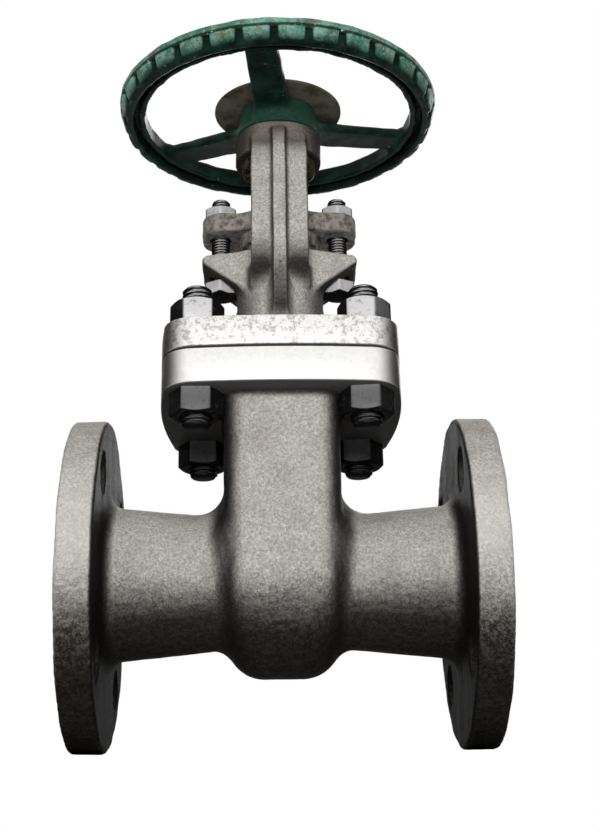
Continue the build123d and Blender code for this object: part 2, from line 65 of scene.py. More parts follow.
# Driving sizes, read from the frame
BODY_HIGH = span("valve_body")[1]
BONNET_LOW, BONNET_HIGH = span("bonnet_yoke")
FLANGE_LOW, FLANGE_HIGH = span("outlet_flange")
WHEEL_LOW, WHEEL_HIGH = span("handwheel")
DISC_LOW, DISC_HIGH = span("blank_disc")
SLEEVE_LOW, SLEEVE_HIGH = span("yoke_sleeve")
GLAND_LOW, GLAND_HIGH = span("gland_flange")
UPPER_NUT_LOW = span("bonnet_nut_upper_1")[0]
STUD_LOW, STUD_HIGH = span("bonnet_stud_1")
FACE_X = FLANGE_HIGH[0]
FLANGE_R = FLANGE_HIGH[1]
FLANGE_THICK = FLANGE_HIGH[0] - FLANGE_LOW[0]
JOINT_TOP = BODY_HIGH[2]
BONNET_FLANGE_TOP = UPPER_NUT_LOW[2]
STEM_R = (stem_high.x - stem_low.x) / 2 / MM
WHEEL_R = WHEEL_HIGH[0]

# Body casting
RAISED_FACE_R = 36.5
RAISED_FACE_H = 1.6
FLANGE_HOLE_R = 8.0
FLANGE_BOLT_CIRCLE_R = 49.25
FLANGE_HOLE_OFFSET = FLANGE_BOLT_CIRCLE_R * 0.70711
BORE_R = 19.0
PIPE_R_AT_FLANGE = 29.3
PIPE_R_AT_STEM = 23.3
CHAMBER_HALF_X = 22.6
CHAMBER_HALF_Y = 36.6
CHAMBER_CORNER_R = 11.0
CHAMBER_WALL = 6.6
JOINT_THICK = 14.3
JOINT_STUD_OFFSET = -(STUD_LOW[0] + STUD_HIGH[0]) / 2
JOINT_CORNER_R = 13.0
JOINT_SIDE = JOINT_STUD_OFFSET + JOINT_CORNER_R
JOINT_FRONT_SAGITTA = 1.5
JOINT_SIDE_SAGITTA = 2.5

# Bonnet casting
NECK_R = 18.5
NECK_TOP = 137.0
STUFFING_BOTTOM = 99.0
PACKING_R = 14.5
HUB_R = 18.6
HUB_BOTTOM = 185.0
EAR_HALF_Y = 12.0
EAR_SEAT = 127.4
EAR_OUTLINE = [
    (0, 137.9), (11, 139.4), (30.8, 136.6), (32.4, 135.0),
    (32.4, 132.8), (31.0, 131.4), (11, 117.5), (0, 117.5),
]
GLAND_BOLT_X = 25.0
GLAND_BOLT_R = 4.0
GLAND_MIDDLE_R = 18.0
GLAND_HALF_Y = 12.0
GLAND_END_R = 9.0
SLEEVE_R = 12.5
SLEEVE_COLLAR_R = 16.0
SLEEVE_COLLAR_H = 3.6
SLEEVE_THREAD_R = 11.0
SLEEVE_PLAY = 0.15
COLLAR_ROOM_R = 16.6
COLLAR_ROOM_H = 7.0
BONNET_HOLLOW_R = 26.0
BONNET_HOLLOW_TOP = 87.5
BONNET_STEP_H = 6.4
BONNET_CORE_LOW_R = 27.0
BONNET_CORE_HIGH_R = 17.0
BOLT_PLAY = 0.5
BOLT_HEAD_ROOM_R = 8.0
BOLT_HEAD_ROOM_LOW = 114.0
GLAND_R = 14.2
GLAND_COLLAR_R = 17.0
GLAND_COLLAR_H = 5.0

# Handwheel
WALL_R = 66.8
RIM_INNER_R = 58.7
RIM_TOP = 214.0
CHANNEL_TOP = 210.6
INNER_WALL = 2.6
OUTER_WALL = 2.9
INNER_WALL_BOTTOM = 206.6
PAD_COUNT = 30
PAD_GAP = 3.3
PAD_BOTTOM = 205.2
PAD_TOP = 211.6
PAD_DRAFT = 2.0
PAD_SET_BACK = 0.3
WALL_LOW = 204.8
SPOKE_COUNT = 3
FRONT_SPOKE_DEG = -97.5
SPOKE_HUB_HALF = 8.2
SPOKE_RIM_HALF = 6.7
SPOKE_LOW_AT_HUB = 202.2
SPOKE_LOW_AT_RIM = 209.0
SPOKE_DEPTH = 4.4
WHEEL_HUB_TOP = DISC_LOW[2]
WHEEL_HUB_LOW_R = 18.4
WHEEL_HUB_HIGH_R = 16.6

# Nuts, bolts and threads
JOINT_NUT_FLATS = 19.0
GLAND_NUT_FLATS = 13.0
WHEEL_NUT_FLATS = 32.0
GLAND_HEAD_HEIGHT = 5.4
STUD_PITCH = 1.75
STUD_THREAD_DEPTH = 0.95
GLAND_BOLT_PITCH = 1.25
GLAND_THREAD_DEPTH = 0.7
UPPER_NUT_TURN_LEFT = 34.0
UPPER_NUT_TURN_RIGHT = 18.0
LOWER_NUT_TURN_LEFT = 31.0
LOWER_NUT_TURN_RIGHT = 23.0
STEM_PITCH = 4.0
STEM_THREAD_DEPTH = 1.9
STEM_THREAD_FROM = 146.0
STEM_HEAD_R = 7.6
STEM_HEAD_HEIGHT = 5.0
STEM_WAIST_R = 5.6
STEM_SHANK_FROM = 10.4


# Distance fields: every function takes points as rows of x, y, z and returns signed distances


def round_union(a, b, radius):
    """Join two fields with a round fillet in the corner between them."""
    corner = np.hypot(np.maximum(radius - a, 0), np.maximum(radius - b, 0))
    return np.maximum(radius, np.minimum(a, b)) - corner


def round_cut(a, b, radius):
    """Keep what is in both fields, with a rounded outer edge where they meet."""
    corner = np.hypot(np.maximum(radius + a, 0), np.maximum(radius + b, 0))
    return np.minimum(-radius, np.maximum(a, b)) + corner


def slab(coordinate, low, high):
    """Distance to the space between two parallel planes."""
    return np.abs(coordinate - (low + high) / 2) - (high - low) / 2


def rounded_rectangle(u, v, half_u, half_v, radius):
    """Distance to a rectangle with rounded corners in a plane."""
    du = np.abs(u) - half_u + radius
    dv = np.abs(v) - half_v + radius
    outside = np.hypot(np.maximum(du, 0), np.maximum(dv, 0))
    return outside + np.minimum(np.maximum(du, dv), 0) - radius


def polygon(u, v, corners):
    """Signed distance to a closed polygon in a plane."""
    best = np.full(len(u), 1e9)
    inside = np.zeros(len(u), bool)
    for (u0, v0), (u1, v1) in zip(corners, corners[1:] + corners[:1]):
        along = ((u - u0) * (u1 - u0) + (v - v0) * (v1 - v0)) / ((u1 - u0) ** 2 + (v1 - v0) ** 2)
        along = np.clip(along, 0, 1)
        best = np.minimum(best, (u - u0 - along * (u1 - u0)) ** 2 + (v - v0 - along * (v1 - v0)) ** 2)
        if v0 != v1:
            crosses = ((v0 > v) != (v1 > v)) & (u < (u1 - u0) * (v - v0) / (v1 - v0) + u0)
            inside ^= crosses
    return np.sqrt(best) * np.where(inside, -1, 1)


def waves(points, size, depth):
    """Gentle uneven swell of a cast surface, as sums of sines along mixed directions."""
    x, y, z = (points / size).T
    swell = np.sin(x * 2.1 + 1.3 * np.sin(y * 1.7)) + np.sin(y * 2.7 + z * 1.1 + 1.9 * np.sin(x * 1.1))
    swell += np.sin(z * 2.3 - x * 0.9 + 1.1 * np.sin(y * 1.3 + 2.0))
    return swell / 3 * depth


# Meshes; the skin of a casting waves this many times a metre
COARSE_SKIN = 450
FINE_SKIN = 1100


def surface_mesh(field, low, high, cell):
    """Vertices and quads of the surface where a field is zero, by surface nets and Newton steps."""
    ticks = [np.arange(low[i] - 2 * cell, high[i] + 3 * cell, cell) for i in range(3)]
    grid = np.stack(np.meshgrid(*ticks, indexing="ij"), -1)
    shape = grid.shape[:3]
    value = field(grid.reshape(-1, 3)).reshape(shape)
    inside = value < 0
    cells = tuple(n - 1 for n in shape)
    total = np.zeros(cells + (3,))
    count = np.zeros(cells)
    for axis in range(3):
        for a in (0, 1):
            for b in (0, 1):
                start = np.insert([a, b], axis, 0)
                stop = start.copy()
                stop[axis] = 1
                here = tuple(slice(s, s + n) for s, n in zip(start, cells))
                there = tuple(slice(s, s + n) for s, n in zip(stop, cells))
                crosses = inside[here] != inside[there]
                share = value[here][crosses] / (value[here][crosses] - value[there][crosses])
                place = np.repeat(start[None, :].astype(float), len(share), 0)
                place[:, axis] = share
                total[crosses] += place
                count[crosses] += 1
    active = count > 0
    number = np.full(cells, -1)
    number[active] = np.arange(active.sum())
    corner = np.argwhere(active)
    origin = np.array([t[0] for t in ticks])
    vertices = origin + (corner + total[active] / count[active][:, None]) * cell
    quads = []
    for axis in range(3):
        u, v = [i for i in range(3) if i != axis]
        first = [slice(1, -1)] * 3
        first[axis] = slice(0, -1)
        second = list(first)
        second[axis] = slice(1, None)
        before = inside[tuple(first)]
        after = inside[tuple(second)]
        edge = np.argwhere(before != after) + np.where(np.arange(3) == axis, 0, 1)
        leaves = before[before != after]
        ring = []
        for du, dv in ((-1, -1), (0, -1), (0, 0), (-1, 0)):
            cell_index = edge.copy()
            cell_index[:, u] += du
            cell_index[:, v] += dv
            ring.append(number[tuple(cell_index.T)])
        quad = np.stack(ring, 1)
        flip = leaves if axis != 1 else ~leaves
        quad[~flip] = quad[~flip][:, ::-1]
        quads.append(quad)
    step = cell * 0.05
    for _ in range(3):
        distance = field(vertices)
        shifts = step * np.eye(3)
        rises = [field(vertices + shift) - field(vertices - shift) for shift in shifts]
        slope = np.stack(rises, 1) / (2 * step)
        move = distance[:, None] * slope / np.maximum((slope**2).sum(1), 0.05)[:, None]
        length = np.linalg.norm(move, axis=1, keepdims=True)
        vertices = vertices - move * np.minimum(1, cell * 0.6 / np.maximum(length, 1e-9))
    return vertices, np.concatenate(quads)


def make_object(name, vertices, faces, sharp_deg=None):
    """Mesh object from vertices in millimetres about the stem axis."""
    mesh = bpy.data.meshes.new(name)
    placed = (np.asarray(vertices, float) + np.array([STEM_X, 0, 0])) * MM
    if isinstance(faces, np.ndarray):
        faces = faces.tolist()
    mesh.from_pydata(placed.tolist(), [], faces)
    mesh.validate()
    mesh.shade_smooth()
    if sharp_deg is not None:
        mesh.set_sharp_from_angle(angle=math.radians(sharp_deg))
    thing = bpy.data.objects.new(name, mesh)
    bpy.context.scene.collection.objects.link(thing)
    return thing


def apply_modifiers(thing):
    """Bake the modifiers of an object into its mesh."""
    bpy.context.view_layer.update()
    graph = bpy.context.evaluated_depsgraph_get()
    mesh = bpy.data.meshes.new_from_object(thing.evaluated_get(graph))
    thing.modifiers.clear()
    thing.data = mesh


def cast_object(name, field, low, high, cell, keep, roughness_mm, seed):
    """A casting from its distance field, thinned and given a slightly uneven skin."""
    vertices, quads = surface_mesh(field, low, high, cell)
    thing = make_object(name, vertices, quads)
    thin = thing.modifiers.new("thin", "DECIMATE")
    thin.ratio = keep
    apply_modifiers(thing)
    mesh = thing.data
    count = len(mesh.vertices)
    place = np.empty(count * 3, np.float32)
    mesh.vertices.foreach_get("co", place)
    place = place.reshape(-1, 3)
    normals = np.empty(count * 3, np.float32)
    mesh.vertex_normals.foreach_get("vector", normals)
    normals = normals.reshape(-1, 3)
    coarse = [noise.noise(Vector(p) * COARSE_SKIN + Vector((seed, 0, 0))) for p in place]
    fine = [noise.noise(Vector(p) * FINE_SKIN + Vector((0, seed, 0))) for p in place]
    height = np.array(coarse) * 0.6 + np.array(fine) * 0.4
    place += normals * (height * roughness_mm * MM)[:, None]
    shift = np.array([STEM_X, 0.0, 0.0])
    place = np.clip(place, (np.array(low) + shift) * MM, (np.array(high) + shift) * MM)
    mesh.vertices.foreach_set("co", place.astype(np.float32).ravel())
    mesh.update()
    mesh.shade_smooth()
    return thing


# Outline of the yoke arms, seen from the side: y and z of points that a smooth curve passes through
RIB_OUTER = [
    (-17, 103), (-26, 113.5), (-32.6, 126), (-34.8, 139), (-34.0, 155),
    (-32.0, 170), (-29.8, 182), (-26, 189.3), (-17, 195.2),
]
RIB_INNER = [
    (-17, 126), (-24.5, 136), (-25.2, 150),
    (-23.8, 168), (-21.5, 180), (-17, 187),
]
PLATE_OUTER = [
    (-15, 121.5), (-24.2, 129.5), (-27.9, 139), (-28.2, 150),
    (-26.9, 168), (-24.6, 181), (-15, 191),
]
PLATE_INNER = [
    (-15, 128.5), (-20.0, 132.5), (-22.6, 140), (-22.9, 150),
    (-21.6, 166), (-19.4, 177), (-15, 184),
]
RIB_HALF = 2.85
PLATE_HALF = 11.8


def smooth_curve(points, steps=6):
    """Points along a Catmull-Rom curve through the given ones."""
    rows = [np.array(p, float) for p in points]
    rows = [2 * rows[0] - rows[1]] + rows + [2 * rows[-1] - rows[-2]]
    curve = []
    for a, b, c, d in zip(rows, rows[1:], rows[2:], rows[3:]):
        for t in np.arange(steps) / steps:
            point = b + 0.5 * t * (c - a + t * (2 * a - 5 * b + 4 * c - d + t * (3 * (b - c) + d - a)))
            curve.append(tuple(point))
    return curve + [tuple(rows[-2])]


def revolved_y(y, z):
    """Distance from the chamber's middle plane: straight above the pipe axis, round below it."""
    return np.where(z > 0, np.abs(y), np.hypot(y, z))


def body_field(points):
    """Body casting: end flanges, conical pipe necks, gate chamber and the core of the joint flange."""
    x, y, z = points.T
    across = np.abs(x)
    radial = np.hypot(y, z)
    back = FACE_X - FLANGE_THICK
    widening = (PIPE_R_AT_FLANGE - PIPE_R_AT_STEM) * np.minimum(across / (back - 6), 1)
    pipe = np.maximum(radial - PIPE_R_AT_STEM - widening, across - back - 1)
    depth = revolved_y(y, z)
    foot = np.clip((-z - 8) / 18, 0, 1)
    shoulder = np.clip((z + 4) / 18, 0, 1)
    chamber = rounded_rectangle(x, depth, CHAMBER_HALF_X, CHAMBER_HALF_Y, CHAMBER_CORNER_R + 4.5 * foot)
    chamber = np.maximum(chamber, z - JOINT_TOP + 0.6)
    cast = round_union(pipe, chamber, 7.0 + 5.0 * shoulder - 2.0 * foot)
    flange = round_cut(radial - FLANGE_R, slab(across, back, FACE_X - RAISED_FACE_H), 1.7)
    cast = round_union(cast, flange, 6.5)
    raised = round_cut(radial - RAISED_FACE_R, slab(across, back, FACE_X), 0.4)
    cast = np.minimum(cast, raised)
    joint = rounded_rectangle(x, y, JOINT_SIDE - 0.6, JOINT_SIDE - 0.6, JOINT_CORNER_R)
    joint = np.maximum(joint, slab(z, JOINT_TOP - JOINT_THICK + 0.5, JOINT_TOP - 0.6))
    cast = round_union(cast, joint, 4.0)
    cast = cast + waves(points, 9.0, 0.22)
    hole = np.hypot(np.abs(y) - FLANGE_HOLE_OFFSET, np.abs(z) - FLANGE_HOLE_OFFSET)
    hole = np.maximum(hole - FLANGE_HOLE_R, back - 6 - across)
    cast = round_cut(cast, -hole, 0.5)
    bore = np.maximum(radial - BORE_R, CHAMBER_HALF_X - 1 - across)
    cast = round_cut(cast, -bore, 0.4)
    cavity = rounded_rectangle(x, depth, CHAMBER_HALF_X - CHAMBER_WALL, CHAMBER_HALF_Y - CHAMBER_WALL, 4.0)
    return np.maximum(cast, -cavity)


def bonnet_field(points):
    """Bonnet casting: core of the joint flange, stuffing box, ears, T-section arms and hub."""
    x, y, z = points.T
    across = np.abs(x)
    deep = np.abs(y)
    radial = np.hypot(x, y)
    base = BONNET_LOW[2]
    top = BONNET_FLANGE_TOP
    neck = round_cut(radial - NECK_R, slab(z, base + 1, NECK_TOP), 1.0)
    joint = rounded_rectangle(x, y, JOINT_SIDE - 0.6, JOINT_SIDE - 0.6, JOINT_CORNER_R)
    joint = np.maximum(joint, slab(z, base + 0.5, top - 0.5))
    cast = round_union(neck, joint, 4.5)
    ear = polygon(across, z, EAR_OUTLINE)
    ear = round_cut(ear, deep - EAR_HALF_Y, 1.6)
    cast = round_union(cast, ear, 3.0)
    rib = polygon(-deep, z, smooth_curve(RIB_OUTER) + smooth_curve(RIB_INNER)[::-1])
    rib = round_cut(rib, across - RIB_HALF, 0.9)
    plate = polygon(-deep, z, smooth_curve(PLATE_OUTER) + smooth_curve(PLATE_INNER)[::-1])
    plate = round_cut(plate, across - PLATE_HALF, 1.1)
    arm = round_union(rib, plate, 2.6)
    hub = round_cut(radial - HUB_R, slab(z, HUB_BOTTOM, BONNET_HIGH[2]), 0.7)
    arm = round_union(arm, hub, 2.2)
    cast = round_union(cast, arm, 4.0)
    cast = cast + waves(points + 30, 8.0, 0.2)
    cast = np.maximum(cast, z - BONNET_HIGH[2])
    collar_room = np.maximum(radial - COLLAR_ROOM_R, slab(z, HUB_BOTTOM - COLLAR_ROOM_H, HUB_BOTTOM))
    cast = round_cut(cast, -collar_room, 0.4)
    sleeve_room = np.maximum(radial - SLEEVE_R - SLEEVE_PLAY, HUB_BOTTOM - COLLAR_ROOM_H - 2 - z)
    cast = round_cut(cast, -sleeve_room, 0.4)
    box = np.maximum(radial - PACKING_R, slab(z, STUFFING_BOTTOM, NECK_TOP + 9))
    cast = round_cut(cast, -box, 0.4)
    cast = np.maximum(cast, STEM_R + 0.15 - radial)
    cast = np.maximum(cast, -np.maximum(radial - BONNET_HOLLOW_R, z - BONNET_HOLLOW_TOP))
    bolt = np.hypot(across - GLAND_BOLT_X, y)
    bolt_room = np.maximum(bolt - GLAND_BOLT_R - BOLT_PLAY, slab(z, 110, 150))
    cast = round_cut(cast, -bolt_room, 0.3)
    head_room = np.maximum(bolt - BOLT_HEAD_ROOM_R, slab(z, BOLT_HEAD_ROOM_LOW, EAR_SEAT))
    return round_cut(cast, -head_room, 0.5)


def wheel_field(points):
    """Handwheel casting: channel rim with pads, three flat spokes and the hub."""
    x, y, z = points.T
    radial = np.hypot(x, y)
    angle = np.arctan2(y, x) - math.radians(FRONT_SPOKE_DEG)
    pitch = 2 * math.pi / PAD_COUNT
    off_pad = np.abs((angle + pitch / 2) % pitch - pitch / 2) * WALL_R
    rim = rounded_rectangle(
        radial - (RIM_INNER_R + WALL_R) / 2,
        z - (WALL_LOW + RIM_TOP) / 2,
        (WALL_R - RIM_INNER_R) / 2,
        (RIM_TOP - WALL_LOW) / 2,
        1.3,
    )
    lip_top = WHEEL_HIGH[2]
    lip = rounded_rectangle(
        radial - (WALL_R + WHEEL_R) / 2,
        z - (PAD_TOP + lip_top) / 2,
        (WHEEL_R - WALL_R) / 2,
        (lip_top - PAD_TOP) / 2,
        1.4,
    )
    rim = round_union(rim, lip, 1.2)
    pad_half = (WALL_R * pitch - PAD_GAP) / 2
    pad_high = PAD_TOP + 1
    pad_rise = z - (PAD_BOTTOM + pad_high) / 2
    pad = rounded_rectangle(off_pad, pad_rise, pad_half, (pad_high - PAD_BOTTOM) / 2, 1.8)
    pad_face = WHEEL_R - PAD_SET_BACK - PAD_DRAFT * (PAD_TOP - z) / (PAD_TOP - PAD_BOTTOM)
    pad = round_cut(np.maximum(pad, WALL_R - 1.5 - radial), radial - pad_face, 0.9)
    rim = round_union(rim, pad, 0.5)
    channel_mid = (RIM_INNER_R + INNER_WALL + WALL_R - OUTER_WALL) / 2
    channel_half = channel_mid - RIM_INNER_R - INNER_WALL
    channel = np.maximum(np.abs(radial - channel_mid) - channel_half, z - CHANNEL_TOP)
    rim = round_cut(rim, -channel, 0.7)
    rim = np.maximum(rim, -np.maximum(radial - channel_mid, z - INNER_WALL_BOTTOM))
    hub_narrowing = (WHEEL_HUB_HIGH_R - WHEEL_HUB_LOW_R) * (z - WHEEL_LOW[2])
    hub_r = WHEEL_HUB_LOW_R + hub_narrowing / (WHEEL_HUB_TOP - WHEEL_LOW[2])
    wheel = round_cut(radial - hub_r, slab(z, WHEEL_LOW[2], WHEEL_HUB_TOP), 0.9)
    for i in range(SPOKE_COUNT):
        turn = math.radians(FRONT_SPOKE_DEG + 360 / SPOKE_COUNT * i)
        along = x * math.cos(turn) + y * math.sin(turn)
        aside = -x * math.sin(turn) + y * math.cos(turn)
        share = (along - SLEEVE_R) / (RIM_INNER_R - SLEEVE_R)
        half = SPOKE_HUB_HALF + (SPOKE_RIM_HALF - SPOKE_HUB_HALF) * share
        low = SPOKE_LOW_AT_HUB + (SPOKE_LOW_AT_RIM - SPOKE_LOW_AT_HUB) * share
        bar = round_cut(np.abs(aside) - half, slab(z, low, low + SPOKE_DEPTH), 1.5)
        bar = np.maximum(bar, np.maximum(SLEEVE_R + 1 - along, along - RIM_INNER_R - 1))
        wheel = round_union(wheel, bar, 3.0)
    wheel = round_union(wheel, rim, 2.5)
    wheel = wheel + waves(points + 60, 5.0, 0.22)
    return round_cut(wheel, SLEEVE_R + 0.05 - radial, 0.4)


def gland_flange_field(points):
    """Gland flange: a long rounded plate, wide round the stem, with a bolt hole at each end."""
    x, y, z = points.T
    plan = rounded_rectangle(x, y, GLAND_HIGH[0], GLAND_HALF_Y, GLAND_END_R)
    plan = round_union(plan, np.hypot(x, y) - GLAND_MIDDLE_R, 4.0)
    plate = round_cut(plan, slab(z, GLAND_LOW[2], GLAND_HIGH[2]), 1.0)
    plate = plate + np.abs(waves(points, 4.0, 0.25))
    hole = np.hypot(np.abs(x) - GLAND_BOLT_X, y) - GLAND_BOLT_R - BOLT_PLAY
    plate = round_cut(plate, -hole, 0.4)
    return round_cut(plate, STEM_R + 1 - np.hypot(x, y), 0.4)


# Turned, threaded and hexagonal pieces


def ring(angle, radius, z, place):
    """Points round a vertical axis through place, at the given radii and heights."""
    x = place[0] + radius * np.cos(angle)
    y = place[1] + radius * np.sin(angle)
    return np.stack([x, y, np.broadcast_to(np.asarray(z, float), angle.shape)], 1)


def loop_faces(row_count, steps, closed=True):
    """Quads between rows of points round an axis, and from the last row to the first when closed."""
    faces = []
    for i in range(row_count if closed else row_count - 1):
        below = i * steps
        above = ((i + 1) % row_count) * steps
        for k in range(steps):
            n = (k + 1) % steps
            faces.append((below + k, below + n, above + n, above + k))
    return faces


def turned(name, profile, steps=96):
    """Closed ring or disc turned about a vertical axis from a loop of radius and height points."""
    angle = np.arange(steps) * 2 * math.pi / steps
    rows = [ring(angle, r, z, (0.0, 0.0)) for r, z in profile]
    return make_object(name, np.concatenate(rows), loop_faces(len(rows), steps), 32)


def rod_rows(name, rows, steps, place=(0.0, 0.0)):
    """Closed rod from rows of radii round the axis: rows is a list of (height, radii)."""
    angle = np.arange(steps) * 2 * math.pi / steps
    points = [ring(angle, r, z, place) for z, r in rows]
    faces = loop_faces(len(rows), steps, False)
    last = (len(rows) - 1) * steps
    faces.append(tuple(range(steps - 1, -1, -1)))
    faces.append(tuple(range(last, last + steps)))
    return make_object(name, np.concatenate(points), faces, 50)


def threaded_rows(
    major, pitch, depth, low, high, thread_spans, steps=44, chamfer=1.0, per_pitch=9, flat=0.15
):
    """Rows for a rod from low to high with a right-hand thread inside each of the given spans."""
    angle = np.arange(steps) / steps
    heights = [low, high]
    for start, stop in thread_spans:
        heights += list(np.arange(start, stop, pitch / per_pitch))
    rows = []
    for z in sorted(set(np.round(heights, 4))):
        phase = (z / pitch - angle) % 1.0
        groove = 1 - np.abs(2 * phase - 1)
        groove = np.clip((groove - flat) / (1 - 2 * flat), 0, 1)
        fade = 0.0
        for start, stop in thread_spans:
            if start <= z <= stop:
                fade = max(fade, min(1.0, (z - start) / pitch + 0.05) if start > low + 0.01 else 1.0)
                fade = min(fade, (stop - z) / pitch + 0.05) if stop < high - 0.01 else fade
        radius = major - depth * groove * fade
        end = min(z - low, high - z)
        radius = np.minimum(radius, major - depth - 0.2 + end * 1.1) if end < chamfer * 1.6 else radius
        rows.append((z, radius))
    return rows


def hex_piece(name, flats, low, high, place, hole_r, chamfer_low, chamfer_high, turn=0.0):
    """Hexagonal nut, or a head when hole_r is 0: softened edges, and cone-shaped chamfers at its ends."""
    steps = 96
    angle = np.arange(steps) * 2 * math.pi / steps
    local = (angle - math.radians(turn) + math.pi / 6) % (math.pi / 3) - math.pi / 6
    reach = flats / 2 / np.cos(local)
    reach = np.minimum(reach, flats / 2 * 1.135)
    flat_r = flats / 2 * 0.95
    drop = np.maximum(reach - flat_r, 0) * math.tan(math.radians(30))
    lower = low + drop * chamfer_low
    upper = high - drop * chamfer_high
    even = np.ones(steps)
    loops = [(even * (hole_r + 0.7), even * low), (even * flat_r, even * low), (reach, lower)]
    loops += [(reach, upper), (even * flat_r, even * high), (even * (hole_r + 0.7), even * high)]
    if hole_r:
        thread_r = even * (hole_r - 0.25)
        loops += [(thread_r, even * (high - 0.95)), (thread_r, even * (low + 0.95))]
    rows = [ring(angle, r, h, place) for r, h in loops]
    faces = loop_faces(len(rows), steps, bool(hole_r))
    if not hole_r:
        faces.append(tuple(range(steps - 1, -1, -1)))
        faces.append(tuple(range((len(rows) - 1) * steps, len(rows) * steps)))
    piece = make_object(name, np.concatenate(rows), faces, 24)
    bevel = piece.modifiers.new("edge", "BEVEL")
    bevel.width = 0.22 * MM
    bevel.segments = 2
    bevel.limit_method = "ANGLE"
    bevel.angle_limit = math.radians(22)
    apply_modifiers(piece)
    piece.data.shade_smooth()
    piece.data.set_sharp_from_angle(angle=math.radians(38))
    return piece


def joint_flange(name, low, high, hole):
    """Bolted joint flange with bowed sides and broken edges; hole lists its inner loops, top first."""
    offset = JOINT_STUD_OFFSET
    outline = []
    for quarter in range(4):
        turn = quarter * math.pi / 2
        bow = (JOINT_FRONT_SAGITTA, JOINT_SIDE_SAGITTA)[quarter % 2]
        local = [(offset * t, -JOINT_SIDE - bow * (1 - t * t)) for t in np.linspace(-1, 1, 25)]
        local += [
            (offset + JOINT_CORNER_R * math.sin(a), -offset - JOINT_CORNER_R * math.cos(a))
            for a in np.linspace(0, math.pi / 2, 13)[1:-1]
        ]
        cosine, sine = math.cos(turn), math.sin(turn)
        outline += [(px * cosine - py * sine, px * sine + py * cosine) for px, py in local]
    edge_line = np.array(outline)
    slope = np.roll(edge_line, -1, 0) - np.roll(edge_line, 1, 0)
    outward = np.stack([slope[:, 1], -slope[:, 0]], 1) / np.linalg.norm(slope, axis=1)[:, None]
    insets = [(low, 0.8), (low + 0.25, 0.25), (low + 0.8, 0.0)]
    insets += [(high - 0.8, 0.0), (high - 0.25, 0.25), (high, 0.8)]
    angle = np.arctan2(edge_line[:, 1], edge_line[:, 0])
    count = len(edge_line)
    rows = [np.column_stack([edge_line - outward * inset, np.full(count, float(z))]) for z, inset in insets]
    rows += [ring(angle, reach(angle), z, (0.0, 0.0)) for z, reach in hole]
    return make_object(name, np.concatenate(rows), loop_faces(len(rows), count), 50)


def circle_reach(radius):
    """Radius of a circle as a function of the angle."""
    return lambda angle: np.full(len(angle), float(radius))


def rectangle_reach(half_x, half_y):
    """Radius of a rectangle as a function of the angle."""

    def reach(angle):
        along_x = half_x / np.abs(np.cos(angle) + 1e-9)
        along_y = half_y / np.abs(np.sin(angle) + 1e-9)
        return np.minimum(along_x, along_y)

    return reach


# Materials, in millimetres of the piece's own space


